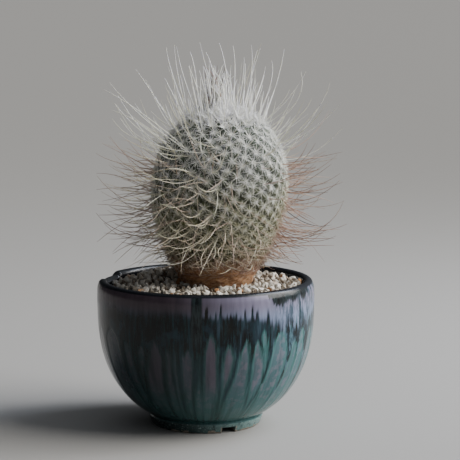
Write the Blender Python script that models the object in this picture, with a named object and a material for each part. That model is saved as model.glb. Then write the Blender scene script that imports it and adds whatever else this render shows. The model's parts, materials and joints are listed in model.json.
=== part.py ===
"""Potted twin-spined cactus: a small globe cactus in a glazed stoneware bowl.

Sizes are in metres, +Z is up, and the bowl stands on Z = 0. The origin lies at the
foot, under the middle of the whole plant's outline with its spines. The pieces are
the bowl, the net over its drain hole, the pumice grit and the cactus.
"""

import math
import random

import bmesh
import bpy
from mathutils import Vector
from mathutils.geometry import delaunay_2d_cdt

MM = 0.001
TOUCH_GAP = 0.3 * MM

# The bowl's axis from the origin: the spines reach further to one side than the other.
BOWL_X, BOWL_Y = -9.0 * MM, -0.4 * MM

# Bowl: a turned stoneware pot on a low foot ring.
TURN_STEPS = 48
BELLY_R, BELLY_Z = 59.8 * MM, 66.7 * MM
BOWL_DEPTH, BOWL_POWER = 67.0 * MM, 2.36
LIP_R, LIP_Z, LIP_ROUND = 59.3 * MM, 80.9 * MM, 2.6 * MM
WALL = 5.4 * MM
INSIDE_Z, INSIDE_DEPTH, INSIDE_POWER = 70.0 * MM, 62.3 * MM, 2.4
OUTSIDE_ROWS = [z * MM for z in (6.8, 9.5, 14.0, 20.0, 28.0, 39.0, 52.0, 66.0, 75.0)]
INSIDE_ROWS = [z * MM for z in (70.0, 55.0, 40.0, 28.0, 19.0, 13.0)]
FLOOR_Z = 9.5 * MM
DRAIN_R = 6.0 * MM
FOOT_R, FOOT_LEDGE_R, FOOT_JOIN_R = 30.0 * MM, 31.9 * MM, 31.0 * MM
FOOT_LEDGE_Z, FOOT_Z = 4.8 * MM, 6.0 * MM
FOOT_INSIDE_R, FOOT_ROOF_R, FOOT_ROOF_Z = 24.8 * MM, 23.3 * MM, 4.3 * MM
NOTCH_WIDTH, NOTCH_HEIGHT, NOTCH_LENGTH = 8.0 * MM, 3.3 * MM, 14.0 * MM
NOTCH_AZIMUTHS = [math.radians(294.6 + 120 * turn) for turn in range(3)]
DIP_DEPTH, DIP_START, DIP_END = 2.0 * MM, math.radians(157), math.radians(183)
DIP_BLEND, DIP_FADE_Z, DIP_FULL_Z = math.radians(5), LIP_Z - 7.0 * MM, LIP_Z - 1.0 * MM

# Net: a round of plastic mesh that keeps the grit off the drain hole.
NET_R, NET_THICK = 15.5 * MM, 1.2 * MM
NET_PITCH, NET_HOLE = 5.2 * MM, 3.6 * MM
NET_STEPS = 24

# Grit: coarse pumice, a little below the lip, heaped behind the cactus on the left.
GRIT_EDGE_Z = 78.0 * MM
GRIT_HEAP, GRIT_HEAP_X, GRIT_HEAP_Y = 3.6 * MM, -17.0 * MM, 22.0 * MM
GRIT_HEAP_SPREAD = 15.0 * MM
GRIT_DOME, GRIT_DOME_FULL_R, GRIT_DOME_R = 0.9 * MM, 30.0 * MM, 54.0 * MM
GRAIN_SPACING, GRAIN_RISE, GRAIN_SINK = 4.5 * MM, 1.8 * MM, 0.7 * MM
GRAIN_MARGIN, GRAIN_TRIES = 0.42 * GRAIN_SPACING, 30000
GRIT_SEED = 11

# Cactus: a short globe, widest above its middle, on a corky waist that narrows downwards.
CROWN_Z, WIDEST_Z, WAIST_Z, COLLAR_Z = 173.0 * MM, 127.0 * MM, 87.5 * MM, 82.5 * MM
STEM_R, WAIST_R, COLLAR_R = 36.8 * MM, 23.6 * MM, 21.2 * MM
CROWN_POWER, FLANK_POWER = 2.3, 1.6
STEM_FOOT_X, STEM_LEAN = 6.0 * MM, 0.035
COLLAR_STEPS = 24
ROOT_PROFILE = [(21.0, 81.9), (19.6, 78.5), (18.8, 76.0), (17.2, 71.5), (13.0, 65.0), (7.2, 57.5),
                (3.2, 50.0)]
ROOT_TIP_Z = 44.0 * MM

# Areoles: the points on the tubercles that carry the spines, set by the golden angle.
AREOLE_SPACING, CROWN_SPACING, CROWN_REACH = 8.0 * MM, 5.2 * MM, 24.0 * MM
TUBERCLE_RISE, TUBERCLE_TILT = 3.3 * MM, 0.45
WORN_SHARE, WORN_BELOW, WORN_ABOVE = 0.2, 4.0 * MM, 14.0 * MM
YOUNG_LOSS, YOUNG_REACH = 0.45, 14.0 * MM
AREOLE_R = 0.55 * MM
YOUNG_AREOLE_SHARE, YOUNG_AREOLE_REACH = 0.75, 6.0 * MM
GOLDEN_ANGLE = math.pi * (3 - math.sqrt(5))

# Spines: twins that stand out from each areole, and short radials that lie over the skin.
LONG_SPINE, SHORT_SPINE, RADIAL_SPINE = 33.5 * MM, 13.0 * MM, 5.2 * MM
CROWN_SPINE = 38.0 * MM
CROWN_SPINES_Z, CROWN_SPINES_FULL_Z = CROWN_Z - 17.0 * MM, CROWN_Z - 2.0 * MM
WAIST_SPINES_Z, WAIST_SPINE_SHARE = WAIST_Z + 6.0 * MM, 0.55
BARE_BELOW_Z = WAIST_Z + 3.0 * MM
SPINE_R, SPINE_TAPER, BEND_PART = 0.34 * MM, 0.75, 0.55
LIFT, CROWN_LIFT, WAIST_DROP, WAIST_DROP_END_Z = 0.16, 1.5, 0.34, WIDEST_Z - 10.0 * MM
SIDE_SPREAD, RISE_SPREAD, CROWN_NARROWS = 0.42, 0.34, 0.6
CURL_SHARES, CURL_DROP, CURL_RISE = (0.05, 0.22), 1.3, 0.5
LONG_SPINE_SHARES, SHORT_SPINE_SHARES, RADIAL_SHARES = (0.55, 1.08), (0.7, 1.3), (0.85, 1.1)
RADIAL_LIFT, RADIAL_ROOT, RADIAL_ROOT_LIFT = 0.62, 0.24, 0.05 * MM
BENT_LENGTH = 25.0 * MM
SPINE_FLOOR_Z = 85.5 * MM
SPINE_SEED = 7


def clamp(value, low=0.0, high=1.0):
    return min(max(value, low), high)


def smoothstep(low, high, value):
    part = clamp((value - low) / (high - low))
    return part * part * (3 - 2 * part)


def steps(start, end, count):
    """Return count + 1 evenly spaced values from start to end."""
    return [start + (end - start) * index / count for index in range(count + 1)]


def make_material(name, colour, roughness, metallic=0.0):
    material = bpy.data.materials.new(name)
    material.use_nodes = True
    shader = material.node_tree.nodes["Principled BSDF"]
    shader.inputs["Base Color"].default_value = (*colour, 1.0)
    shader.inputs["Roughness"].default_value = roughness
    shader.inputs["Metallic"].default_value = metallic
    return material


def make_object(name, bm, material, parent, smooth_angle=None):
    mesh = bpy.data.meshes.new(name)
    bm.to_mesh(mesh)
    bm.free()
    if smooth_angle is not None:
        mesh.shade_smooth()
        mesh.set_sharp_from_angle(angle=math.radians(smooth_angle))
    if material is not None:
        mesh.materials.append(material)
    obj = bpy.data.objects.new(name, mesh)
    bpy.context.scene.collection.objects.link(obj)
    obj.parent = parent
    return obj


def level_circle(radius, count, centre_x=0.0):
    turns = [math.tau * index / count for index in range(count)]
    return [(centre_x + radius * math.cos(turn), radius * math.sin(turn)) for turn in turns]


def ring_of(bm, radius, z, count, centre_x=0.0):
    """Add a level circle of vertices, counter-clockwise as seen from above."""
    return [bm.verts.new((x, y, z)) for x, y in level_circle(radius, count, centre_x)]


def join_rings(bm, lower, upper):
    """Wall between two rings with as many vertices, facing away from the axis."""
    count = len(lower)
    for index in range(count):
        after = (index + 1) % count
        bm.faces.new((lower[index], lower[after], upper[after]))
        bm.faces.new((lower[index], upper[after], upper[index]))


def cut(obj, cutter):
    """Take the cutter's shape out of obj, and keep the cutter as a guide only."""
    cutter.hide_render = True
    cutter.display_type = "WIRE"
    modifier = obj.modifiers.new("cut " + cutter.name, "BOOLEAN")
    modifier.operation = "DIFFERENCE"
    modifier.object = cutter


def make_block(name, centre, size, turn, parent):
    bm = bmesh.new()
    bmesh.ops.create_cube(bm, size=1.0)
    bmesh.ops.scale(bm, vec=size, verts=bm.verts)
    block = make_object(name, bm, None, parent)
    block.location = centre
    block.rotation_euler = (0.0, 0.0, turn)
    return block


# Bowl

def bowl_radius(z):
    """Outer radius: a superellipse up to the belly, then a slight draw-in to the lip."""
    if z > BELLY_Z:
        return BELLY_R - (BELLY_R - LIP_R) * ((z - BELLY_Z) / (LIP_Z - BELLY_Z)) ** 2
    drop = (BELLY_Z - z) / BOWL_DEPTH
    return BELLY_R * (1 - drop ** BOWL_POWER) ** (1 / BOWL_POWER)


def inside_radius(z):
    """Radius of the bowl's inner wall."""
    top = LIP_R - WALL
    if z > INSIDE_Z:
        return top
    drop = (INSIDE_Z - z) / INSIDE_DEPTH
    return top * (1 - drop ** INSIDE_POWER) ** (1 / INSIDE_POWER)


def lip_dip(azimuth, z):
    """The hand-finished lip sags over a short stretch at the left."""
    inside = smoothstep(DIP_START - DIP_BLEND, DIP_START, azimuth)
    inside *= 1 - smoothstep(DIP_END - DIP_BLEND, DIP_END, azimuth)
    return DIP_DEPTH * inside * smoothstep(DIP_FADE_Z, DIP_FULL_Z, z)


def bowl_profile():
    """Closed outline of the wall, from the foot's outer edge up and back down inside."""
    outline = [(FOOT_R, 0.0), (FOOT_LEDGE_R, FOOT_LEDGE_Z), (FOOT_JOIN_R, FOOT_Z)]
    outline += [(bowl_radius(z), z) for z in OUTSIDE_ROWS]
    lip_middle = LIP_R - WALL / 2
    for turn in steps(0, math.pi, 4):
        outline.append((lip_middle + WALL / 2 * math.cos(turn),
                        LIP_Z - LIP_ROUND + LIP_ROUND * math.sin(turn)))
    outline += [(inside_radius(z), z) for z in INSIDE_ROWS + [FLOOR_Z]]
    outline += [(DRAIN_R, FLOOR_Z), (DRAIN_R, FOOT_ROOF_Z)]
    outline += [(FOOT_ROOF_R, FOOT_ROOF_Z), (FOOT_INSIDE_R, 0.0)]
    return outline


def build_bowl(parent):
    bm = bmesh.new()
    rings = [ring_of(bm, radius, z, TURN_STEPS) for radius, z in bowl_profile()]
    for lower, upper in zip(rings, rings[1:] + rings[:1]):
        join_rings(bm, lower, upper)
    for vertex in bm.verts:
        azimuth = math.atan2(vertex.co.y, vertex.co.x) % math.tau
        vertex.co.z -= lip_dip(azimuth, vertex.co.z)
    glaze = make_material("glazed stoneware", (0.05, 0.13, 0.13), 0.22)
    bowl = make_object("glazed_bowl", bm, glaze, parent, smooth_angle=35)
    for index, azimuth in enumerate(NOTCH_AZIMUTHS):
        middle = (FOOT_R + FOOT_INSIDE_R) / 2
        centre = (middle * math.cos(azimuth), middle * math.sin(azimuth), 0.0)
        size = (NOTCH_LENGTH, NOTCH_WIDTH, 2 * NOTCH_HEIGHT)
        cut(bowl, make_block(f"foot_notch_cutter_{index + 1}", centre, size, azimuth, parent))
    return bowl


# Drain net

def build_net(parent):
    bm = bmesh.new()
    bmesh.ops.create_cone(bm, cap_ends=True, segments=NET_STEPS, radius1=NET_R,
                          radius2=NET_R, depth=NET_THICK)
    plastic = make_material("black plastic mesh", (0.02, 0.02, 0.02), 0.5)
    net = make_object("drain_net", bm, plastic, parent)
    net.location.z = FLOOR_Z + TOUCH_GAP + NET_THICK / 2
    holes = bmesh.new()
    for column in range(-2, 3):
        for row in range(-2, 3):
            centre = Vector((column * NET_PITCH, row * NET_PITCH, 0.0))
            if centre.length > NET_R - NET_HOLE:
                continue
            made = bmesh.ops.create_cube(holes, size=NET_HOLE)
            bmesh.ops.translate(holes, vec=centre, verts=made["verts"])
    cutter = make_object("net_hole_cutter", holes, None, parent)
    cutter.location = net.location
    cut(net, cutter)
    return net


# Pumice grit

def grit_level(x, y):
    """Height of the grit's surface without its grains, x and y from the bowl's axis."""
    far = (x - GRIT_HEAP_X) ** 2 + (y - GRIT_HEAP_Y) ** 2
    level = GRIT_EDGE_Z + GRIT_HEAP * math.exp(-far / (2 * GRIT_HEAP_SPREAD ** 2))
    return level + GRIT_DOME * (1 - smoothstep(GRIT_DOME_FULL_R, GRIT_DOME_R, math.hypot(x, y)))


def scatter_grains(rng, outer, hole_x, hole_r):
    """Random grain centres, never closer than GRAIN_SPACING."""
    grains = []
    for _ in range(GRAIN_TRIES):
        x, y = rng.uniform(-outer, outer), rng.uniform(-outer, outer)
        if math.hypot(x, y) > outer - GRAIN_MARGIN:
            continue
        if math.hypot(x - hole_x, y) < hole_r + GRAIN_MARGIN:
            continue
        if all(math.hypot(x - a, y - b) > GRAIN_SPACING for a, b in grains):
            grains.append((x, y))
    return grains


def triangulate(points, loops=()):
    """Delaunay triangles over 2-D points; the loops' edges are kept."""
    edges = []
    for loop in loops:
        edges += list(zip(loop, loop[1:] + loop[:1]))
    return delaunay_2d_cdt([Vector(point) for point in points], edges, [], 0, 1e-9)[2]


def middle_of(points, corners):
    """Centre of a triangle, as a pair of coordinates."""
    return tuple(sum(points[index][axis] for index in corners) / 3 for axis in (0, 1))


def root_profile():
    """Radius and height of the corky collar and root below the stem, from the top."""
    return [(radius * MM, z * MM) for radius, z in ROOT_PROFILE]


def build_grit(parent):
    rng = random.Random(GRIT_SEED)
    outer = inside_radius(GRIT_EDGE_Z) - TOUCH_GAP
    hole = [(radius + TOUCH_GAP, z - TOUCH_GAP) for radius, z in root_profile()]
    hole_r = hole[0][0]
    points = level_circle(outer, TURN_STEPS) + level_circle(hole_r, COLLAR_STEPS, STEM_FOOT_X)
    wall = list(range(TURN_STEPS))
    rim = list(range(TURN_STEPS, TURN_STEPS + COLLAR_STEPS))
    first_grain = len(points)
    points += scatter_grains(rng, outer, STEM_FOOT_X, hole_r)
    first_hollow = len(points)

    def open_triangles():
        """Triangles of the surface, without those that lie across the cactus's hole."""
        return [c for c in triangulate(points, [wall, rim]) if not set(c) <= set(rim)]

    points += [middle_of(points, corners) for corners in open_triangles()]

    bm = bmesh.new()
    top = []
    for index, (x, y) in enumerate(points):
        height = grit_level(x, y)
        if index >= first_hollow:
            height -= GRAIN_SINK
        elif index >= first_grain:
            height += GRAIN_RISE * rng.uniform(0.45, 1.0)
        top.append(bm.verts.new((x, y, height)))
    for corners in open_triangles():
        bm.faces.new([top[index] for index in corners])

    ring = [top[index] for index in wall]
    for z in INSIDE_ROWS:
        lower = ring_of(bm, inside_radius(z) - TOUCH_GAP, z, TURN_STEPS)
        join_rings(bm, lower, ring)
        ring = lower
    base_z = FLOOR_Z + TOUCH_GAP
    lower = ring_of(bm, inside_radius(base_z) - 2 * TOUCH_GAP, base_z, TURN_STEPS)
    join_rings(bm, lower, ring)
    mouth = ring_of(bm, NET_R + TOUCH_GAP, base_z, TURN_STEPS)
    join_rings(bm, mouth, lower)
    roof_z = base_z + NET_THICK + TOUCH_GAP
    roof = ring_of(bm, NET_R + TOUCH_GAP, roof_z, TURN_STEPS)
    join_rings(bm, roof, mouth)
    bm.faces.new(list(reversed(roof)))

    ring = [top[index] for index in rim]
    for radius, z in hole[1:]:
        lower = ring_of(bm, radius, z, COLLAR_STEPS, STEM_FOOT_X)
        join_rings(bm, ring, lower)
        ring = lower
    tip = bm.verts.new((STEM_FOOT_X, 0.0, ROOT_TIP_Z - 2 * TOUCH_GAP))
    for index in range(COLLAR_STEPS):
        bm.faces.new((ring[index], ring[(index + 1) % COLLAR_STEPS], tip))
    bmesh.ops.triangulate(bm, faces=[f for f in bm.faces if len(f.verts) > 3])
    pumice = make_material("pumice grit", (0.62, 0.56, 0.47), 0.9)
    return make_object("pumice_grit", bm, pumice, parent)


# Cactus

def stem_radius(z):
    """Radius over the tubercles' tips: a dome above the widest height, a waist below."""
    if z >= WIDEST_Z:
        rise = clamp((z - WIDEST_Z) / (CROWN_Z - WIDEST_Z))
        return STEM_R * (1 - rise ** CROWN_POWER) ** (1 / CROWN_POWER)
    if z < WAIST_Z:
        return COLLAR_R + (WAIST_R - COLLAR_R) * (z - COLLAR_Z) / (WAIST_Z - COLLAR_Z)
    drop = (WIDEST_Z - z) / (WIDEST_Z - WAIST_Z)
    return WAIST_R + (STEM_R - WAIST_R) * (1 - drop ** FLANK_POWER)


def stem_centre_x(z):
    return STEM_FOOT_X + STEM_LEAN * max(0.0, z - COLLAR_Z)


class StemSkin:
    """The stem's surface, unrolled from the crown down.

    Each sample is (arc length, height, radius, unrolled, areoles): unrolled is the
    integral of ds / r, which turns the skin into a flat disc without changing its
    angles, and areoles counts those that fit above the sample.
    """

    def __init__(self, count=600):
        self.samples = []
        arc = unrolled = areoles = 0.0
        z_before, r_before = CROWN_Z, 0.0
        for index in range(1, count + 1):
            part = index / count
            z = CROWN_Z - (CROWN_Z - COLLAR_Z) * part ** 2
            r = max(stem_radius(z), 0.05 * MM)
            length = math.hypot(z - z_before, r - r_before)
            middle = max((r + r_before) / 2, 0.05 * MM)
            arc += length
            unrolled += length / middle
            cell = math.sqrt(3) / 2 * self.spacing(arc) ** 2
            areoles += math.tau * middle * length / cell
            self.samples.append((arc, z, r, unrolled, areoles))
            z_before, r_before = z, r

    @staticmethod
    def spacing(arc):
        return CROWN_SPACING + (AREOLE_SPACING - CROWN_SPACING) * smoothstep(0, CROWN_REACH, arc)

    def at(self, value, column):
        """The sample where the given column reaches value, between its neighbours."""
        low, high = 0, len(self.samples) - 1
        if value <= self.samples[0][column]:
            return self.samples[0]
        while high - low > 1:
            middle = (low + high) // 2
            if self.samples[middle][column] < value:
                low = middle
            else:
                high = middle
        a, b = self.samples[low], self.samples[high]
        part = clamp((value - a[column]) / (b[column] - a[column]))
        return tuple(x + (y - x) * part for x, y in zip(a, b))

    def point(self, sample, turn, depth=0.0):
        """World point on the skin, or depth below it."""
        radius = max(sample[2] - depth, 0.1 * MM)
        sink = depth * smoothstep(WIDEST_Z, CROWN_Z, sample[1])
        return Vector((stem_centre_x(sample[1]) + radius * math.cos(turn),
                       radius * math.sin(turn), sample[1] - sink))

    def frame(self, sample, turn):
        """Outward normal and the direction along the skin towards the crown."""
        above = self.at(sample[0] - 0.5 * MM, 0)
        rise = Vector((above[2] - sample[2], above[1] - sample[1]))
        if rise.length < 1e-7:
            rise = Vector((-1.0, 0.0))
        rise.normalize()
        radial = Vector((math.cos(turn), math.sin(turn), 0.0))
        crownward = radial * rise.x + Vector((0.0, 0.0, rise.y))
        outward = radial * rise.y - Vector((0.0, 0.0, rise.x))
        return outward.normalized(), crownward.normalized()


def tubercle_rise(z):
    """Tubercles are full on the flanks, small on the crown and worn off at the waist."""
    grown = smoothstep(WAIST_Z - WORN_BELOW, WAIST_Z + WORN_ABOVE, z)
    young = 1 - YOUNG_LOSS * smoothstep(CROWN_Z - YOUNG_REACH, CROWN_Z, z)
    return TUBERCLE_RISE * (WORN_SHARE + (1 - WORN_SHARE) * grown) * young


def grow_spine(bm, root, tip, bend, segments):
    """Raise a three-sided needle from the root triangle to its tip, along a curve."""
    base = sum((vertex.co for vertex in root), Vector()) / 3
    offsets = [vertex.co - base for vertex in root]
    ring = list(root)
    for index in range(1, segments):
        part = index / segments
        point = base * (1 - part) ** 2 + bend * 2 * part * (1 - part) + tip * part ** 2
        along = ((bend - base) * (1 - part) + (tip - bend) * part).normalized()
        width = SPINE_R * (1 - SPINE_TAPER * part)
        upper = []
        for offset in offsets:
            flat = offset - along * offset.dot(along)
            upper.append(bm.verts.new(point + flat.normalized() * width))
        join_rings(bm, ring, upper)
        ring = upper
    apex = bm.verts.new(tip)
    for index in range(3):
        bm.faces.new((ring[index], ring[(index + 1) % 3], apex))


def spine_course(rng, root, outward, crownward, z, length):
    """Tip and bend point of a long spine: upright on the crown, spreading on the flanks."""
    crown = smoothstep(CROWN_SPINES_Z, CROWN_SPINES_FULL_Z, z)
    low = 1 - smoothstep(WAIST_Z, WAIST_DROP_END_Z, z)
    narrow = 1 - CROWN_NARROWS * crown
    side = outward.cross(crownward)
    aim = outward + Vector((0.0, 0.0, LIFT + CROWN_LIFT * crown - WAIST_DROP * low))
    aim += side * rng.uniform(-SIDE_SPREAD, SIDE_SPREAD) * narrow
    aim += crownward * rng.uniform(-RISE_SPREAD, RISE_SPREAD) * narrow
    aim.normalize()
    curl = side * rng.uniform(-1, 1) + Vector((0.0, 0.0, rng.uniform(-CURL_DROP, CURL_RISE)))
    curl -= aim * curl.dot(aim)
    bend = root + aim * length * BEND_PART
    sweep = length * rng.uniform(*CURL_SHARES) * narrow
    tip = root + aim * length + curl.normalized() * sweep
    for point in (bend, tip):
        point.z = max(point.z, SPINE_FLOOR_Z)
    return tip, bend


def raise_areole(bm, rng, skin, sample, turn, valley, count):
    """A pyramid tubercle over its valley loop, with twin centrals and two radials."""
    outward, crownward = skin.frame(sample, turn)
    side = crownward.cross(outward)
    z = sample[1]
    rise = tubercle_rise(z)
    summit = skin.point(sample, turn) + crownward * rise * TUBERCLE_TILT
    scale = YOUNG_AREOLE_SHARE if z > CROWN_Z - YOUNG_AREOLE_REACH else 1.0
    around = [side, crownward, -side, -crownward]
    ring = [bm.verts.new(summit + way * AREOLE_R * scale) for way in around]

    def bearing(vertex):
        flat = vertex.co - summit
        return math.atan2(flat.dot(crownward), flat.dot(side)) % math.tau

    loop = sorted(valley, key=bearing)
    turns = [bearing(vertex) for vertex in loop]
    turns.append(turns[0] + math.tau)
    loop.append(loop[0])
    start = 0
    while start < 4 and math.pi / 2 * (start + 0.5) < turns[0]:
        start += 1
    corner, outer, gores = start, 0, []
    while outer < len(turns) - 1 or corner < start + 4:
        next_corner = math.pi / 2 * (corner + 0.5)
        if corner == start + 4 or (outer < len(turns) - 1 and turns[outer + 1] < next_corner):
            bm.faces.new((loop[outer], loop[outer + 1], ring[corner % 4]))
            outer += 1
        else:
            gores.append((loop[outer], ring[(corner + 1) % 4], ring[corner % 4]))
            corner += 1

    bearing_radials = {count % 4, (count + 2) % 4}
    for index, (low, left, right) in enumerate(gores):
        if index not in bearing_radials or z < BARE_BELOW_Z:
            bm.faces.new((low, left, right))
            continue
        middle = (left.co + right.co) / 2
        inner = bm.verts.new(middle.lerp(low.co, RADIAL_ROOT) + outward * RADIAL_ROOT_LIFT)
        bm.faces.new((low, left, inner))
        bm.faces.new((right, low, inner))
        away = (middle - summit).normalized()
        length = RADIAL_SPINE * rng.uniform(*RADIAL_SHARES) * skin.spacing(sample[0]) / AREOLE_SPACING
        tip = middle + (away + outward * RADIAL_LIFT).normalized() * length
        grow_spine(bm, (left, right, inner), tip, middle, 1)

    crown = smoothstep(CROWN_SPINES_Z, CROWN_SPINES_FULL_Z, z)
    longest = LONG_SPINE + (CROWN_SPINE - LONG_SPINE) * crown
    if z < WAIST_SPINES_Z:
        longest *= WAIST_SPINE_SHARE
    upper, lower = (ring[0], ring[1], ring[2]), (ring[2], ring[3], ring[0])
    long_root, short_root = (upper, lower) if rng.random() < 0.5 else (lower, upper)
    length = longest * rng.uniform(*LONG_SPINE_SHARES)
    tip, bend = spine_course(rng, summit, outward, crownward, z, length)
    grow_spine(bm, long_root, tip, bend, 3 if length > BENT_LENGTH and crown < 0.5 else 2)
    length = SHORT_SPINE * rng.uniform(*SHORT_SPINE_SHARES)
    tip, bend = spine_course(rng, summit, outward, crownward, z, length)
    grow_spine(bm, short_root, tip, bend, 1)


def build_cactus(parent):
    rng = random.Random(SPINE_SEED)
    skin = StemSkin()
    sites = []
    count = 0
    while True:
        sample = skin.at(count + 0.6, 4)
        if sample[1] < WAIST_Z + 0.5 * MM:
            break
        sites.append((sample, count * GOLDEN_ANGLE))
        count += 1
    collar = skin.samples[-1]
    areoles = len(sites)
    sites += [(collar, math.tau * index / COLLAR_STEPS) for index in range(COLLAR_STEPS)]
    flat = [(math.exp(sample[3]) * math.cos(turn), math.exp(sample[3]) * math.sin(turn))
            for sample, turn in sites]
    scale = max(abs(value) for point in flat for value in point)
    flat = [(x / scale, y / scale) for x, y in flat]

    bm = bmesh.new()
    collar_ring = [bm.verts.new(skin.point(sample, turn)) for sample, turn in sites[areoles:]]
    valleys = {}
    facing = {}
    for index, corners in enumerate(triangulate(flat)):
        x, y = middle_of(flat, corners)
        sample = skin.at(math.log(math.hypot(x, y) * scale), 3)
        place = skin.point(sample, math.atan2(y, x), tubercle_rise(sample[1]))
        valleys[index] = bm.verts.new(place)
        for a, b in zip(corners, corners[1:] + corners[:1]):
            facing[(a, b)] = index

    loops = [set() for _ in sites]
    for (a, b), left in facing.items():
        right = facing.get((b, a))
        if right is None:
            bm.faces.new((collar_ring[a - areoles], collar_ring[b - areoles], valleys[left]))
            continue
        loops[a] |= {left, right}
        if a >= areoles:
            bm.faces.new((collar_ring[a - areoles], valleys[right], valleys[left]))
    for index in range(areoles):
        sample, turn = sites[index]
        raise_areole(bm, rng, skin, sample, turn, [valleys[i] for i in loops[index]], index)

    ring = collar_ring
    for radius, z in root_profile():
        lower = ring_of(bm, radius, z, COLLAR_STEPS, STEM_FOOT_X)
        join_rings(bm, lower, ring)
        ring = lower
    tip = bm.verts.new((STEM_FOOT_X, 0.0, ROOT_TIP_Z))
    for index in range(COLLAR_STEPS):
        bm.faces.new((ring[(index + 1) % COLLAR_STEPS], ring[index], tip))
    print("areoles", areoles, "cactus triangles", len(bm.faces))
    flesh = make_material("cactus", (0.42, 0.44, 0.33), 0.6)
    return make_object("cactus", bm, flesh, parent)


def main():
    for obj in list(bpy.data.objects):
        bpy.data.objects.remove(obj, do_unlink=True)
    plant = bpy.data.objects.new("bowl_axis", None)
    bpy.context.scene.collection.objects.link(plant)
    plant.location = (BOWL_X, BOWL_Y, 0.0)
    build_bowl(plant)
    build_net(plant)
    build_grit(plant)
    build_cactus(plant)


main()
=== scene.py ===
# %% [markdown]
# A globe cactus with twin spines stands in coarse pumice, in a bowl with a drip glaze.
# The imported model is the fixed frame: every piece below is made in its coordinates, in
# metres, and rides on its one body, because nothing on a potted plant moves.

# %% Load the frame
import json
import math
import random

import bmesh
import bpy
import numpy as np
from mathutils import Matrix, Vector, kdtree, noise

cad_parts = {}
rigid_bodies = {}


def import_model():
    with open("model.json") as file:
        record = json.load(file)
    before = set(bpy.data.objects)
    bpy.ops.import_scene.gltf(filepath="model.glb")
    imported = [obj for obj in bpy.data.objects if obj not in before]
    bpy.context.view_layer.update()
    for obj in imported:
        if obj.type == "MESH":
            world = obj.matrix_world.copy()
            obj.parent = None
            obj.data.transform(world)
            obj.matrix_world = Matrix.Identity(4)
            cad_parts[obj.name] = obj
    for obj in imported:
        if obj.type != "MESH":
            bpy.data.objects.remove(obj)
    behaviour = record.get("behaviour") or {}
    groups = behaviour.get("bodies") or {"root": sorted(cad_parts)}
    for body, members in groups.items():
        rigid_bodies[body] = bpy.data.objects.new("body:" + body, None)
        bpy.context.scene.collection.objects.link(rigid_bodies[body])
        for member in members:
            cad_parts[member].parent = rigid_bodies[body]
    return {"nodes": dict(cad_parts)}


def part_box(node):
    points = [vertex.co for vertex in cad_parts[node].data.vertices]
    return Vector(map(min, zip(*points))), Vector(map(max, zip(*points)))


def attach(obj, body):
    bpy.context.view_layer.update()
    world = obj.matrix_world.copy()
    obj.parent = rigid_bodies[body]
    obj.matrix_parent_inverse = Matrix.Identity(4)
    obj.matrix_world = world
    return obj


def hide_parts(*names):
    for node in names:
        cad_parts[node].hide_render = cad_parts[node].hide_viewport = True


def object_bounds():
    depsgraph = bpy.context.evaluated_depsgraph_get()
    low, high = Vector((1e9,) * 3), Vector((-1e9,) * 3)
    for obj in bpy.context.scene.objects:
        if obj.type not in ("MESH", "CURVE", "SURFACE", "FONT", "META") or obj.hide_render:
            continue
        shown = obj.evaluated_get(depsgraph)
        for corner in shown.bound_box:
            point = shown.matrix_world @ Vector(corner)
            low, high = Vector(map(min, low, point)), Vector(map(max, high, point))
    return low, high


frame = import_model()
cad_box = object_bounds()
MM = 0.001
BELLY_R, BELLY_Z = 59.8 * MM, 66.7 * MM
bowl_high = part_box("glazed_bowl")[1]
BOWL_X, BOWL_Y = bowl_high[0] - BELLY_R, bowl_high[1] - BELLY_R
print("bowl axis", round(BOWL_X / MM, 2), round(BOWL_Y / MM, 2), "mm from the origin")

# %% [markdown]
# A few small helpers serve every piece. Colours are written as sRGB hex values, as a
# painter would pick them, and Blender wants them linear. Nodes of shaders and of
# geometry trees are added by one function, which takes values, hex colours, sockets or
# whole nodes as inputs, so that a tree reads as a list of steps. A finish is mostly one
# colour laid over another where some value passes two marks, so one function does that.

# %% Helpers for numbers and colours
def clamp(value, low=0.0, high=1.0):
    return min(max(value, low), high)


def smoothstep(low, high, value):
    part = clamp((value - low) / (high - low))
    return part * part * (3 - 2 * part)


def plateau(start, full, fade, end, value):
    """A share that rises from start to full, stays there, and falls from fade to end."""
    return smoothstep(start, full, value) * (1 - smoothstep(fade, end, value))


def linear(hex_colour):
    """Turn an sRGB hex colour such as "#C8B89E" into linear RGBA."""
    shades = [int(hex_colour[i:i + 2], 16) / 255 for i in (1, 3, 5)]
    return (*[s / 12.92 if s <= 0.04045 else ((s + 0.055) / 1.055) ** 2.4 for s in shades], 1.0)


print("a pale stone is", [round(shade, 2) for shade in linear("#C8B89E")[:3]], "in linear light")

# %% Helpers for nodes and materials
COLOUR, SMOOTH = {"data_type": "RGBA"}, {"interpolation_type": "SMOOTHSTEP"}


def feed(tree, node, inputs):
    """Give a node its inputs; a node stands for its first output that is in use."""
    for key, value in inputs.items():
        if isinstance(value, bpy.types.Node):
            value = next(socket for socket in value.outputs if socket.enabled)
        if isinstance(value, bpy.types.NodeSocket):
            tree.links.new(value, node.inputs[key])
        else:
            is_colour = isinstance(value, str) and value.startswith("#")
            node.inputs[key].default_value = linear(value) if is_colour else value


def add(tree, kind, settings=None, inputs=None, stops=()):
    """Add one node with its settings, its inputs and, on a colour ramp, its stops."""
    node = tree.nodes.new(kind)
    for name, value in (settings or {}).items():
        setattr(node, name, value)
    feed(tree, node, inputs or {})
    for index, (position, colour) in enumerate(stops):
        ramp = node.color_ramp.elements
        stop = ramp[index] if index < 2 else ramp.new(position)
        stop.position, stop.color = position, linear(colour)
    return node


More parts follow.
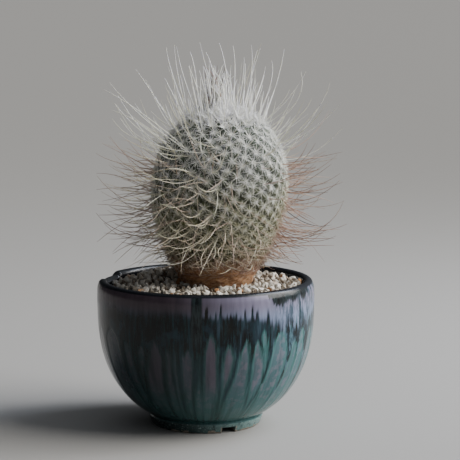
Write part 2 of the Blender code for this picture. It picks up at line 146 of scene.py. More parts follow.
def layered(tree, colour, *layers):
    """Lay colours over a colour: (share, colour), or (value, low, high, share, colour)."""
    for value, *marks, over in layers:
        if marks:
            low, high, most = marks
            value = add(tree, "ShaderNodeMapRange", SMOOTH, {
                0: value, "From Min": low, "From Max": high, "To Max": most})
        colour = add(tree, "ShaderNodeMix", COLOUR, {0: value, 6: colour, 7: over})
    return colour


def new_material(name, **shader_values):
    """A Principled material: uniform values go on the shader's own sockets."""
    material = bpy.data.materials.new(name)
    material.use_nodes = True
    shader = material.node_tree.nodes["Principled BSDF"]
    feed(material.node_tree, shader, {key.replace("_", " "): value for key, value in shader_values.items()})
    print("material", name)
    return material, material.node_tree, shader


# %% Helpers for meshes
def new_object(name, data, material=None):
    """Put a mesh, a lamp or a camera into the scene."""
    obj = bpy.data.objects.new(name, data)
    bpy.context.scene.collection.objects.link(obj)
    if material is not None:
        data.materials.clear()
        data.materials.append(material)
    return obj


def mesh_from(name, points, faces):
    mesh = bpy.data.meshes.new(name)
    mesh.from_pydata([tuple(p) for p in points], [], faces)
    mesh.shade_smooth()
    mesh.update()
    return mesh


def store(mesh, name, values, kind="FLOAT"):
    """Keep one value or vector for each point of a mesh, for its material or its tree."""
    field = "vector" if kind == "FLOAT_VECTOR" else "value"
    attribute = mesh.attributes.new(name, kind, "POINT")
    attribute.data.foreach_set(field, np.asarray(values, dtype=np.float32).ravel())


def lathe_faces(rows, columns, closed=False, inward=False, first=0):
    """Quads between rows of a turned shape: they face out where the rows climb, or inward."""
    faces = []
    for row in range(rows if closed else rows - 1):
        low, high = first + row * columns, first + (row + 1) % rows * columns
        for column in range(columns):
            after = (column + 1) % columns
            quad = (low + column, low + after, high + after, high + column)
            faces.append((quad[0], *quad[:0:-1]) if inward else quad)
    return faces


# %% Helpers for geometry trees
def new_tree(name, sockets):
    """A geometry tree with named inputs; returns it with its first and last node."""
    tree = bpy.data.node_groups.new(name, "GeometryNodeTree")
    tree.interface.new_socket("Geometry", in_out="INPUT", socket_type="NodeSocketGeometry")
    for label, kind in sockets.items():
        tree.interface.new_socket(label, in_out="INPUT", socket_type="NodeSocket" + kind)
    tree.interface.new_socket("Geometry", in_out="OUTPUT", socket_type="NodeSocketGeometry")
    return tree, tree.nodes.new("NodeGroupInput"), tree.nodes.new("NodeGroupOutput")


def grow(name, mesh, tree, values):
    """Run a tree on a mesh once, and keep what it makes as a plain mesh."""
    source = new_object(name + "_source", mesh)
    modifier = source.modifiers.new("grow", "NODES")
    modifier.node_group = tree
    for item in tree.interface.items_tree:
        if item.item_type == "SOCKET" and item.in_out == "INPUT" and item.name in values:
            modifier[item.identifier] = values[item.name]
    graph = bpy.context.evaluated_depsgraph_get()
    grown = bpy.data.meshes.new_from_object(source.evaluated_get(graph), depsgraph=graph)
    source.modifiers.remove(modifier)
    bpy.data.objects.remove(source)
    grown.name = name
    grown.calc_loop_triangles()
    print(name, "has", len(grown.loop_triangles), "triangles")
    return new_object(name, grown)


# %% [markdown]
# The photograph was taken from a little above the lip with a long lens. The ellipses of
# the lip and of the foot give the distance and the height: a camera 1 m in front of the
# bowl's axis and 240 mm above the foot's level sees both at their true roundness.

# %% Camera
CAMERA_RIGHT, CAMERA_BACK, CAMERA_UP = 13.4 * MM, 1000 * MM, 239.95 * MM
AIM_UP = 107.63 * MM
LENS_MM, SENSOR_MM = 143.2, 36.0
camera_data = bpy.data.cameras.new("camera")
camera_data.lens, camera_data.sensor_width = LENS_MM, SENSOR_MM
camera_data.clip_end = 1000.0
camera = new_object("camera", camera_data)
camera.location = (BOWL_X + CAMERA_RIGHT, BOWL_Y - CAMERA_BACK, CAMERA_UP)
aim = Vector((0.0, CAMERA_BACK, AIM_UP - CAMERA_UP))
camera.rotation_euler = aim.to_track_quat("-Z", "Y").to_euler()
bpy.context.scene.camera = camera
print("camera looks down by", round(math.degrees(math.atan2(CAMERA_UP - AIM_UP, CAMERA_BACK)), 2))

# %% [markdown]
# A plain pale floor runs to the horizon. The light is soft and comes from high on the
# right, so a broad sun stands there, and beside it a large lamp that the glossy glaze
# mirrors. A cool lamp on the right, a little behind, brightens the crown and the lip.
# The sky is weak, and brighter on that side, so the left stays in shade.

# %% Floor and light
floor_material, _, _ = new_material("matt_pale_floor", Roughness=0.9, Base_Color="#9F9D9A")
bpy.ops.mesh.primitive_circle_add(vertices=64, radius=400.0, fill_type="NGON")
floor = bpy.context.active_object
floor.name = "floor"
floor.data.materials.append(floor_material)

world = bpy.data.worlds.new("studio")
bpy.context.scene.world = world
world.use_nodes = True
tree, sky = world.node_tree, world.node_tree.nodes["Background"]
TOWARD_LAMP = (0.84, -0.12, 0.53)
way = add(tree, "ShaderNodeTexCoord").outputs["Generated"]
lamp_side = add(tree, "ShaderNodeVectorMath", {"operation": "DOT_PRODUCT"}, {0: way, 1: TOWARD_LAMP})
brightness = add(tree, "ShaderNodeMapRange", inputs={
    0: lamp_side, "From Min": -0.2, "From Max": 1.0, "To Min": 0.05, "To Max": 0.8})
feed(tree, sky, {"Color": "#C6CBD2", "Strength": brightness})

LAMPS = {
    "broad_sun": ("SUN", (1.0, -0.15, 0.84), 4.2, "#FFFDF9"),
    "side_lamp": ("AREA", (0.9, 0.25, 0.5), 4.0, "#FFFDFA"),
    "top_lamp": ("AREA", (0.5, 0.2, 0.65), 4.8, "#E6EFFF"),
}
for name, (kind, place, power, colour) in LAMPS.items():
    lamp = bpy.data.lights.new(name, kind)
    lamp.energy, lamp.color = power, linear(colour)[:3]
    if kind == "SUN":
        lamp.angle = math.radians(45)
    else:
        lamp.shape, lamp.size, lamp.size_y = "RECTANGLE", 0.3, 0.45
    holder = new_object(name, lamp)
    holder.location = place
    holder.rotation_euler = (Vector((0, 0, 0.1)) - holder.location).to_track_quat("-Z", "Y").to_euler()
print(len(LAMPS), "lamps and a weak sky")

# %% [markdown]
# The bowl is turned stoneware. Its wall is drawn as one closed outline, foot, belly, lip
# and inside, and spun by code rather than by a Screw modifier, because the glaze is
# thicker where it ran: each point is pushed out by the thickness of the glaze there.

# %% The bowl's measures
BOWL_DEPTH, BOWL_POWER = 67.0 * MM, 2.36
LIP_R, LIP_Z, LIP_ROUND = 59.3 * MM, 80.9 * MM, 2.6 * MM
WALL = 5.4 * MM
INSIDE_Z, INSIDE_DEPTH, INSIDE_POWER = 70.0 * MM, 62.3 * MM, 2.4
FLOOR_Z, DRAIN_R = 9.5 * MM, 6.0 * MM
FOOT_R, FOOT_LEDGE_R, FOOT_JOIN_R = 30.0 * MM, 31.8 * MM, 31.5 * MM
FOOT_Z, FOOT_INSIDE_R, FOOT_ROOF_Z = 6.0 * MM, 24.8 * MM, 4.3 * MM


def bowl_radius(z):
    if z > BELLY_Z:
        return BELLY_R - (BELLY_R - LIP_R) * ((z - BELLY_Z) / (LIP_Z - BELLY_Z)) ** 2
    return BELLY_R * (1 - ((BELLY_Z - z) / BOWL_DEPTH) ** BOWL_POWER) ** (1 / BOWL_POWER)


def inside_radius(z):
    if z > INSIDE_Z:
        return LIP_R - WALL
    drop = (INSIDE_Z - z) / INSIDE_DEPTH
    return (LIP_R - WALL) * (1 - drop ** INSIDE_POWER) ** (1 / INSIDE_POWER)


print("the bowl is", round(2 * BELLY_R / MM, 1), "mm wide and", LIP_Z / MM, "mm high")

# %% The bowl's outline
WALL_ROWS, WALL_START_Z, LIP_ROWS, INSIDE_ROWS = 92, 6.5 * MM, 12, 12


def between(start, end, count):
    return [start + (end - start) * (i + 0.5) / count for i in range(count)]


def bowl_outline():
    """Radius and height of each row, and the part of the bowl that it belongs to."""
    rows = [(FOOT_INSIDE_R, 0.0, "foot"), (FOOT_R - 0.5 * MM, 0.0, "foot"),
            (FOOT_R + 0.1 * MM, 0.5 * MM, "foot")]
    rows += [(FOOT_R + (FOOT_LEDGE_R - FOOT_R) * z / 4.8, z * MM, "foot") for z in (1.2, 2, 2.8, 3.6, 4.3)]
    rows += [(FOOT_LEDGE_R, 5.0 * MM, "foot"), (FOOT_LEDGE_R - 0.2 * MM, 5.6 * MM, "foot"),
             (FOOT_JOIN_R, FOOT_Z, "wall")]
    lip_foot_z, lip_middle = LIP_Z - LIP_ROUND, LIP_R - WALL / 2
    for part in between(0.0, 1.0, WALL_ROWS):
        z = WALL_START_Z + (lip_foot_z - WALL_START_Z) * part ** 1.12
        rows.append((bowl_radius(z), z, "wall"))
    rows += [(lip_middle + WALL / 2 * math.cos(turn), lip_foot_z + LIP_ROUND * math.sin(turn), "lip")
             for turn in between(0.0, math.pi, LIP_ROWS)]
    rows += [(inside_radius(z), z, "inside") for z in between(lip_foot_z, FLOOR_Z, INSIDE_ROWS)]
    rows += [(radius, z, "inside") for radius, z in (
        (inside_radius(FLOOR_Z), FLOOR_Z), (DRAIN_R + 0.6 * MM, FLOOR_Z), (DRAIN_R, FLOOR_Z - 0.6 * MM),
        (DRAIN_R, FOOT_ROOF_Z), (FOOT_INSIDE_R - 1.5 * MM, FOOT_ROOF_Z))]
    return rows


outline = bowl_outline()
print("bowl outline has", len(outline), "rows")

# %% [markdown]
# The glaze is what makes this bowl. Three glazes lie over each other: teal over all,
# black over the upper half, and a milky lavender at the lip. In the kiln the black ran
# down in long tapering runs, and the teal and mauve under it show between them as
# lobes with pointed tops. The runs at the front are placed as in the photograph, each
# as a few knots down the wall, and the others follow the same habit at random.

# %% The runs at the front
# Each run: the lobe at its right as (height of its point in mm, length of the point in
# mm, share of mauve), then knots of (height mm, bearing in degrees, half width mm).
# The bearing is 0 at the front and grows to the right.
FRONT_RUNS = [
    ((59, 7, 0.4), [(60, -67, 3.2), (47.5, -67.3, 2.6), (36.6, -65.6, 1.9), (25.4, -63.5, 1.2)]),
    ((54, 6, 0.3), [(57.6, -50.5, 2.2), (47.9, -49.4, 1.7), (36.9, -47.6, 1.2), (25.4, -46.2, 0.8)]),
    ((52.6, 5, 0.1), [(57.5, -40.4, 3.2), (48.2, -39.9, 2.1), (35.4, -38.7, 1.4), (23.6, -38, 0.7)]),
    ((57.2, 11, 1.0), [(58.5, -31, 1.7), (53.2, -30.7, 1.3), (41.8, -32.6, 1.05), (33, -34.8, 1.0),
                       (23.6, -37, 0.8), (17, -39, 0.5)]),
    ((51.4, 4, 0.7), [(55.6, -22.1, 2.4), (48.5, -21.1, 1.0), (40.1, -21.6, 0.8), (31.4, -22.4, 0.7),
                      (22.1, -23.2, 0.45)]),
    ((51.7, 3, 0.2), [(54.3, -16.4, 1.2), (47.2, -16.5, 0.65), (39.3, -16.6, 0.3)]),
    ((52.0, 6, 0.6), [(53.4, -12.5, 2.0), (46.3, -13.3, 1.2), (36.1, -13.5, 0.9), (24.1, -13.3, 0.8),
                      (14.8, -13.8, 0.3)]),
    ((50.0, 6, 0.1), [(60.2, -4.4, 2.0), (52.1, -4.6, 1.4), (41, -4.6, 1.0), (32.3, -5, 0.85),
                      (25, -6.3, 0.5), (19.8, -7, 0.2)]),
    ((60.2, 13, 1.0), [(60.2, -0.7, 1.4), (52.1, -1, 1.15), (43.8, -1.3, 1.1), (35.3, -1.2, 0.7),
                       (27.5, -1.3, 0.3)]),
    ((54.5, 8, 0.8), [(58.5, 8.2, 2.2), (53.6, 8.2, 1.6), (48.1, 8.2, 1.15), (38, 8.2, 1.2),
                      (30.4, 8.8, 1.1), (23, 8.7, 0.8), (13.6, 8.9, 0.4)]),
    ((56.2, 9, 0.4), [(55.8, 18.3, 3.4), (51.6, 17.1, 2.0), (46.1, 16.8, 1.3), (37.7, 15.8, 1.35),
                      (31.4, 13.9, 1.25), (25.4, 11.9, 1.1), (19.1, 10.7, 0.8), (12.1, 10.1, 0.3)]),
    ((55.5, 6, 0.35), [(57.5, 25.2, 1.8), (52.6, 25.2, 1.2), (45.4, 25.2, 0.9), (39.8, 25, 0.9),
                       (31.1, 25.6, 0.75), (23.1, 26.4, 0.7), (15, 29.2, 0.45)]),
    ((60.1, 7, 0.1), [(58.8, 28.8, 1.2), (53.1, 30.9, 0.6), (47.5, 32.2, 0.35), (40, 33.7, 0.2)]),
    ((59.3, 9, 0.15), [(59.6, 36.3, 3.0), (52.5, 36.4, 1.9), (45.9, 36.3, 1.5), (39.8, 35.4, 1.3),
                       (34.2, 34.7, 1.25), (28.5, 33.1, 1.1), (23.1, 32.1, 0.9), (16.9, 30.3, 0.6)]),
    ((52.5, 5, 0.3), [(58.9, 49.6, 3.4), (50.6, 50.2, 2.4), (43.8, 50.4, 1.8), (38.4, 49.3, 1.5),
                      (32.8, 48.2, 1.4), (27, 47.6, 1.3), (21.2, 45.8, 1.0), (14.2, 46, 0.6)]),
    ((58.6, 7, 0.1), [(56.4, 58.2, 1.8), (49.2, 58.3, 1.2), (43.1, 58, 0.9), (37.6, 57.2, 0.4)]),
    ((57.0, 7, 0.3), [(58.8, 67, 3.4), (50.5, 66.8, 3.0), (43.7, 66.9, 2.4), (36.9, 67.3, 2.0),
                      (31.2, 66.9, 1.7), (23.7, 66.5, 1.2), (16.9, 67.7, 0.5)]),
]
print(len(FRONT_RUNS), "runs are placed one by one")

# %% The runs round the sides and the back
run_rng = random.Random(5)
runs = list(FRONT_RUNS)
FIRST_AT_RANDOM, LAST_AT_RANDOM = 77.0, 284.0
bearing = FIRST_AT_RANDOM
while bearing < LAST_AT_RANDOM:
    start_width, end = run_rng.uniform(1.4, 3.4), run_rng.uniform(14, 38)
    drift = run_rng.gauss(0, 1.2)
    knots = [(60, bearing, start_width), (50, bearing + 0.2 * drift, start_width * 0.62),
             (end + 12, bearing + 0.7 * drift, start_width * 0.42), (end, bearing + drift, 0.35)]
    lobe = (run_rng.uniform(50, 60.5), run_rng.uniform(4, 12), run_rng.choice((0.1, 0.3, 0.5, 0.9)))
    runs.append((lobe, knots))
    bearing += run_rng.uniform(6.5, 12.5)
print(len(runs), "runs round the bowl")


def row_of_runs(z):
    """Bearing and half width of every run at one height, in radians and metres."""
    centres, halves = [], []
    near = z / MM + np.array([-4.0, -2.0, 0.0, 2.0, 4.0])
    for _, knots in runs:
        ordered = sorted([(knots[-1][0] - 4, knots[-1][1], 0.0), *knots])
        heights_mm = [knot[0] for knot in ordered]
        # The mean over a few heights rounds the corners at the knots.
        centres.append(math.radians(np.interp(near, heights_mm, [knot[1] for knot in ordered]).mean()))
        halves.append(MM * np.interp(near, heights_mm, [knot[2] for knot in ordered]).mean())
    return centres, halves


# %% Where the lavender and the runs over the lip end
# Height in mm of the lavender's lower edge by bearing, and the depth of its fade.
LAVENDER_EDGE = [(-180, 66), (-110, 67), (-60, 69.5), (-35, 69), (-12, 70.2), (0, 69.2), (13, 68.6),
                 (26, 67.5), (32, 66), (44, 62), (66, 61), (90, 66), (140, 65), (180, 66)]
LAVENDER_FADE = [(-180, 4), (-60, 9), (-12, 8), (0, 4), (28, 5), (44, 13), (70, 13), (90, 5), (180, 4)]
# Thin dark streaks that rise into it: bearing, top in mm, half width in degrees.
STREAKS = [(1.1, 73.4, 0.9), (5.6, 71, 0.6), (8.2, 74.8, 0.9), (16.1, 70.6, 0.6), (20.8, 71.4, 0.8),
           (24.7, 72.6, 0.6), (27.6, 70.6, 1.0), (34, 70, 0.8), (58, 77, 1.0)]
# Ripples of its edge: height in mm, fineness and seed of each. The teeth are in front and
# on the right, the combed part is on the right, and the long drips are behind.
RIPPLES, TEETH, COMBED, DRIPS = ((0.9, 7, 1.0), (0.7, 26, 4.0)), (1.8, 48, 6.0), (6.0, 55, 16.0), (5, 40, 9.0)
COMBED_SIDE, BEHIND = (math.radians(28), math.radians(44), 1.2, 1.7), 1.25
LIP_RUN_BEARING, LIP_RUN_HALF = math.radians(-3.9), math.radians(3.1)
# Height in mm of the lower edge of the smear over the lip, by bearing.
SMEAR_EDGE = [(33, 82), (36.5, 76), (40, 72.4), (44, 72.6), (48, 75.8), (53, 73.6), (57, 76.2),
              (62, 73.8), (67, 77), (73, 83)]


print("the milky band starts between", min(LAVENDER_EDGE, key=lambda row: row[1])[1], "and",
      max(LAVENDER_EDGE, key=lambda row: row[1])[1], "mm")

# %% How much lavender and lip run a place has
def by_bearing(table, bearing):
    return np.interp(math.degrees(bearing), [row[0] for row in table], [row[1] for row in table])


def wrap(angle):
    return (angle + math.pi) % math.tau - math.pi


def bearing_of(azimuth):
    """The angle round the bowl or the stem, 0 at the front and growing to the right."""
    return wrap(azimuth + math.pi / 2)


def ripple(bearing, fineness, seed):
    """A smooth random value in -1..1 that changes round the bowl and not down it."""
    spot = Vector((math.cos(bearing), math.sin(bearing), 0.0)) * fineness
    return noise.noise(spot + Vector((0, 0, seed)))


def lavender_at(bearing, z):
    """How much milky lavender lies at a place: it fades in above a rippled edge."""
    edge = by_bearing(LAVENDER_EDGE, bearing)
    for height, *kind in RIPPLES:
        edge += height * ripple(bearing, *kind)
    edge += TEETH[0] * smoothstep(0.0, 0.4, ripple(bearing, *TEETH[1:])) * (bearing > -0.05)
    edge += COMBED[0] * plateau(*COMBED_SIDE, bearing) * ripple(bearing, *COMBED[1:])
    for streak_bearing, streak_top, half in STREAKS:
        away = abs(math.degrees(wrap(bearing - math.radians(streak_bearing)))) / half
        if away < 1:
            edge = max(edge, edge + (streak_top + 1 - edge) * (1 - smoothstep(0.5, 1.0, away)))
    if abs(bearing) > BEHIND:
        edge += DRIPS[0] * max(0.0, ripple(bearing, *DRIPS[1:]) - 0.1)
    fade = by_bearing(LAVENDER_FADE, bearing)
    return smoothstep(edge - 0.45 * fade, edge + 0.55 * fade, z / MM)


def lip_run_at(bearing, z):
    """The green-black glaze that ran over the lip, once narrow and once as a smear."""
    narrow = 1 - smoothstep(0.75, 1.0, abs(wrap(bearing - LIP_RUN_BEARING)) / LIP_RUN_HALF)
    low_edge = by_bearing(SMEAR_EDGE, bearing) + 2.6 * ripple(bearing, 60, 2.0)
    smear = smoothstep(low_edge - 0.4, low_edge + 0.8, z / MM)
    return max(narrow * smoothstep(52, 58, z / MM), smear)


print("at 70 mm in front there is", round(lavender_at(0.0, 70 * MM), 2), "of lavender")

# %% The dip in the lip and the notches in the foot
DIP_DEPTH, DIP_START, DIP_END = 2.0 * MM, math.radians(157), math.radians(183)
DIP_EDGE = math.radians(5)
NOTCHES = [math.radians(294.6 + 120 * index) for index in range(3)]
NOTCH_WIDTH, NOTCH_HEIGHT, NOTCH_LENGTH = 8.0 * MM, 3.3 * MM, 14.0 * MM


def chipped_at(azimuth):
    """The glaze has chipped off along the sides of the notches in the foot."""
    away = min(abs(wrap(azimuth - notch)) for notch in NOTCHES) * FOOT_R - NOTCH_WIDTH / 2
    return 1 - smoothstep(0.3 * MM, 1.3 * MM, abs(away))


def lip_dip(azimuth, z):
    """How far the lip sinks at a place, in one shallow dip on the left."""
    inside = plateau(DIP_START - DIP_EDGE, DIP_START, DIP_END - DIP_EDGE, DIP_END, azimuth)
    return DIP_DEPTH * inside * smoothstep(LIP_Z - 7 * MM, LIP_Z - 1 * MM, z)


print("notches at", [round(math.degrees(notch)) % 360 for notch in NOTCHES], "degrees")

# %% The glazes along one row of the wall
TURNS = 720
AZIMUTHS = [math.tau * turn / TURNS for turn in range(TURNS)]
OUTSIDE_A_LOBE, IN_A_LOBE = -4.0, 3.0


def wall_row(z):
    """For each column of a row: distance into a lobe in mm, mauve, lavender and lip run."""
    centres, halves = row_of_runs(z)
    order = sorted(range(len(runs)), key=lambda index: wrap(centres[index]))
    angles = [wrap(centres[index]) for index in order]
    radius = bowl_radius(z)
    row = []
    for bearing in map(bearing_of, AZIMUTHS):
        bearing_here = wrap(bearing + 0.006 * noise.noise(Vector((bearing * 14, z / (7 * MM), 3.1))))
        slot = int(np.searchsorted(angles, bearing_here)) - 1
        left, right = order[slot], order[(slot + 1) % len(order)]
        start = centres[left] + halves[left] / radius
        end = centres[right] - halves[right] / radius
        width = wrap(end - start)
        (point, length, mauve), _ = runs[left]
        fall = (point * MM - z) / (length * MM)
        away = abs(wrap(bearing_here - start - width / 2)) * radius / MM
        if fall <= 0:
            inside = -min(-OUTSIDE_A_LOBE, math.hypot(fall * length, away))
        else:
            half = width / 2 * (1 - (1 - min(1.0, fall)) ** 2) ** 0.75
            inside = max(half * radius / MM - away, OUTSIDE_A_LOBE)
        row.append((inside, mauve * smoothstep(16 * MM, 40 * MM, z), lavender_at(bearing, z),
                    lip_run_at(bearing, z)))
    return row


print("halfway up,", sum(inside > 0 for inside, *_ in wall_row(BELLY_Z / 2)), "of", TURNS, "are lobes")

# %% Turn the bowl
GLAZE_THICK = 0.4 * MM
bowl_points, fields = [], []
for radius, z, part in outline:
    if part == "wall":
        row = wall_row(z)
    elif part == "lip":
        row = [(OUTSIDE_A_LOBE, 0.0, 1.0, lip_run_at(bearing_of(azimuth), z)) for azimuth in AZIMUTHS]
    else:
        row = [(IN_A_LOBE if part == "foot" else OUTSIDE_A_LOBE, 0.0, 0.0, 0.0)] * TURNS
    for azimuth, (inside, mauve, lavender, lip_run) in zip(AZIMUTHS, row):
        chipped = chipped_at(azimuth) if part == "foot" else 0.0
        thick = 0.0
        if part == "wall":
            thick = GLAZE_THICK * (0.5 * (1 - smoothstep(-0.6, 1.2, inside)) + 0.35 * lavender)
            thick *= plateau(FOOT_Z, 16 * MM, 76 * MM, 79 * MM, z)
        around = radius + thick
        bowl_points.append((BOWL_X + around * math.cos(azimuth), BOWL_Y + around * math.sin(azimuth),
                            z - lip_dip(azimuth, z)))
        fields.append((inside, mauve, lavender, lip_run, chipped))

GLAZE_FIELDS = ("lobe_depth", "mauve", "lavender", "lip_run", "chipped")
bowl_mesh = mesh_from("glazed_bowl_fine", bowl_points, lathe_faces(len(outline), TURNS, closed=True))
for column, name in enumerate(GLAZE_FIELDS):
    store(bowl_mesh, name, [field[column] for field in fields])
print("bowl mesh", len(bowl_mesh.polygons), "quads")

# %% [markdown]
# The notches in the foot ring let water out when the bowl stands on a tray. They were
# cut from the leather-hard clay, so their edges are bare. A Boolean cuts them from the
# fine mesh with three blocks, which are removed once it is applied.

# %% Cut the notches
bowl = new_object("glazed_bowl_fine", bowl_mesh)
notch_mesh = bpy.data.meshes.new("notches")
bm = bmesh.new()
block = Matrix.LocRotScale(Vector(((FOOT_R + FOOT_INSIDE_R) / 2, 0, 0)), None,
                           Vector((NOTCH_LENGTH, NOTCH_WIDTH, 2 * NOTCH_HEIGHT)))
for azimuth in NOTCHES:
    at_azimuth = Matrix.Translation((BOWL_X, BOWL_Y, 0)) @ Matrix.Rotation(azimuth, 4, "Z")
    bmesh.ops.create_cube(bm, size=1.0, matrix=at_azimuth @ block)
bm.to_mesh(notch_mesh)
bm.free()
notches = new_object("notches", notch_mesh)
modifier = bowl.modifiers.new("notches", "BOOLEAN")
modifier.operation, modifier.object = "DIFFERENCE", notches
graph = bpy.context.evaluated_depsgraph_get()
bowl_cut = bpy.data.meshes.new_from_object(bowl.evaluated_get(graph), depsgraph=graph)
bowl.modifiers.clear()
bowl.data = bowl_cut
bpy.data.objects.remove(notches)
bowl_cut.shade_smooth()
bowl_cut.set_sharp_from_angle(angle=math.radians(50))
print("bowl with notches", len(bowl_cut.polygons), "faces")

# %% [markdown]
# Stoneware glaze is glass: it is smooth and bright, with an IOR near 1.46. The milky
# lavender is a little softer. Where glaze is thin, on the lip's crest and at the foot,
# the clay shows through. Noise that is stretched down the wall gives the fine curtains
# in the runs, 3 mm wide with threads of 1.2 mm, and frays the edges between the glazes.
# Everything reads Object coordinates, centred on the bowl's axis.

# %% Places and patterns for the glaze
glaze, tree, shader = new_material("drip_glazed_stoneware", IOR=1.46, Specular_IOR_Level=0.35)
coords = add(tree, "ShaderNodeTexCoord").outputs["Object"]
centred = add(tree, "ShaderNodeMapping", inputs={"Vector": coords, "Location": (-BOWL_X, -BOWL_Y, 0)})
parts = add(tree, "ShaderNodeSeparateXYZ", inputs={"Vector": centred})
across, height = parts.outputs["X"], parts.outputs["Z"]
flat = add(tree, "ShaderNodeVectorMath", {"operation": "MULTIPLY"}, {0: centred, 1: (1, 1, 0)})
from_axis = add(tree, "ShaderNodeVectorMath", {"operation": "LENGTH"}, {0: flat})
# The curtains and threads read a place of their own, as if every point of the wall stood
# 60 mm from the axis and at 0.11 of its height. So they run down it, and don't slant.
around = add(tree, "ShaderNodeVectorMath", {"operation": "NORMALIZE"}, {0: flat})
upward = add(tree, "ShaderNodeCombineXYZ", inputs={"Z": height})
unrolled = add(tree, "ShaderNodeVectorMath", {"operation": "MULTIPLY_ADD"}, {
    0: around, 1: (60 * MM, 60 * MM, 60 * MM), 2: upward})
unrolled = add(tree, "ShaderNodeVectorMath", {"operation": "MULTIPLY"}, {0: unrolled, 1: (1, 1, 0.11)})
drawn_out = add(tree, "ShaderNodeMapping", inputs={"Vector": centred, "Scale": (1, 1, 0.22)})
# Each pattern: where it lies, its size in mm, its detail and roughness.
curtain, thread, cloud, patch, speckle, dimple, blotch = [
    add(tree, "ShaderNodeTexNoise", inputs={
        "Vector": spot, "Scale": 1 / (size * MM), "Detail": detail, "Roughness": rough}).outputs["Fac"]
    for spot, size, detail, rough in (
        (unrolled, 3.0, 4.0, 0.6), (unrolled, 1.2, 3.0, 0.7), (centred, 14, 3.0, 0.5),
        (centred, 4, 3.0, 0.5), (centred, 0.7, 2.0, 0.5), (centred, 2.4, 2.0, 0.5),
        (drawn_out, 2.6, 4.0, 0.65))]
lobe_depth, mauve, lavender, lip_run, chipped = [
    add(tree, "ShaderNodeAttribute", {"attribute_name": name}).outputs["Fac"] for name in GLAZE_FIELDS]
# Values that change between two marks, in mm, to the right or up the wall: shares of a
# colour, and for the last how far the lobes' edges fray.
# right lightens the teal, the lower runs and the foot towards the lamps on the right: painted light there,
# painted shade on the left.
right, right_part, far_bit, far_most, pool_and_painted_shade, fray = [
    add(tree, "ShaderNodeMapRange", SMOOTH, {
        0: place, "From Min": low * MM, "From Max": high * MM, "To Min": least, "To Max": most})
    for place, low, high, least, most in (
        (across, -30, 42, 0.0, 1.0), (across, -30, 42, 0.0, 0.75), (across, 30, 50, 0.0, 0.6),
        (across, 30, 50, 0.0, 0.9), (height, 4.6, 5.8, 0.0, 0.4), (height, 40, 56, 1.5, 6.0))]

# %% [markdown]
# The lower wall: teal, with mauve or grey-blue in the middle of each lobe, and the black
# runs between them. The runs turn from black to dark teal towards the foot. The colours
# are painted darker on the left and lighter on the right, where the lamps stand: painted
# shade and painted light across the bowl.

# %% Lobes and runs
# The edges of the lobes are soft, and their tops are frayed into threads.
loose = add(tree, "ShaderNodeMath", {"operation": "SUBTRACT"}, {0: thread, 1: 0.5})
depth = add(tree, "ShaderNodeMath", {"operation": "MULTIPLY_ADD"}, {0: loose, 1: fray, 2: lobe_depth})
depth = add(tree, "ShaderNodeMath", {"operation": "MULTIPLY_ADD"}, {0: curtain, 1: 2.0, 2: depth})
# Teal of the lobes, dark on the left and light on the right: painted shade and painted light.
teal = layered(tree, layered(tree, "#112B2B", (thread, "#234B4A")),
               (right, layered(tree, "#306462", (thread, "#588D8A"))))
middle = layered(tree, layered(tree, "#46686D", (patch, 0.46, 0.6, 1.0, "#6C727C")),
                 (mauve, layered(tree, "#534A57", (curtain, "#776D7B"))),
                 (across, 30 * MM, 50 * MM, 0.8,
                  layered(tree, "#44686E", (patch, 0.46, 0.6, 1.0, "#606F7B"))))
# The last layer of a lobe darkens it towards the left: painted shade.
lobe = layered(tree, teal,
               (depth, 0.8, 3.2, 1.0, middle),
               (height, 34 * MM, 8 * MM, 0.9, layered(tree, "#265350", (curtain, "#508884"))),
               (curtain, 0.5, 0.3, 0.35, "#17383C"),
               (across, 42 * MM, -30 * MM, 0.75, layered(tree, "#0A1517", (curtain, "#141D20"))))
# Near the foot the runs are dark teal, painted lighter towards the lit right as painted light.
run = layered(tree, "#0A2226",
              (height, 40 * MM, 58 * MM, 1.0, "#040709"),
              (height, 38 * MM, 16 * MM, 1.0, layered(tree, "#0B2522", (right, "#1C4846"))),
              (cloud, 0.5, 0.66, 0.45, "#17160F"),
              (cloud, 0.5, 0.38, 0.75, "#1A2C35"),
              (thread, 0.5, 0.68, 0.55, "#17302F"),
              (curtain, 0.52, 0.64, 0.55, "#11343A"),
              (thread, 0.45, 0.7, right_part, "#1B3A44"),
              (blotch, 0.5, 0.6, far_bit, "#5F8493"))
body = layered(tree, run, (depth, -0.5, 2.4, 1.0, lobe))
print("lobes and runs take", len(tree.nodes), "nodes")

# %% The milky band and the lip
milk = layered(tree, layered(tree, "#2F3646", (curtain, "#575E70")),
               (height, 67 * MM, 75 * MM, 1.0, layered(tree, "#463A42", (curtain, "#6A5C65"))))
bluer_milk_and_painted_light = layered(tree, layered(tree, "#65759A", (thread, "#B4BEDC")),
                      (height, 66 * MM, 76 * MM, 1.0, layered(tree, "#74718A", (curtain, "#A29FB9"))))
# Towards the left the milk is half darkened, and towards the right it turns to a bluer, brighter milk: partly
# the glaze's own change, partly painted shade on the left and painted light on the right.
milk = layered(tree, layered(tree, milk, (0.5, "#1B191C")),
               (across, -20 * MM, 40 * MM, 1.0, layered(tree, milk, (0.7, bluer_milk_and_painted_light))),
               (blotch, 0.6, 0.42, far_most, "#1E3B44"))
combed = add(tree, "ShaderNodeMath", {"operation": "MULTIPLY_ADD"}, {0: curtain, 1: 1.2, 2: lavender})
milky = add(tree, "ShaderNodeMapRange", SMOOTH, {0: combed, "From Min": 0.55, "From Max": 1.65})
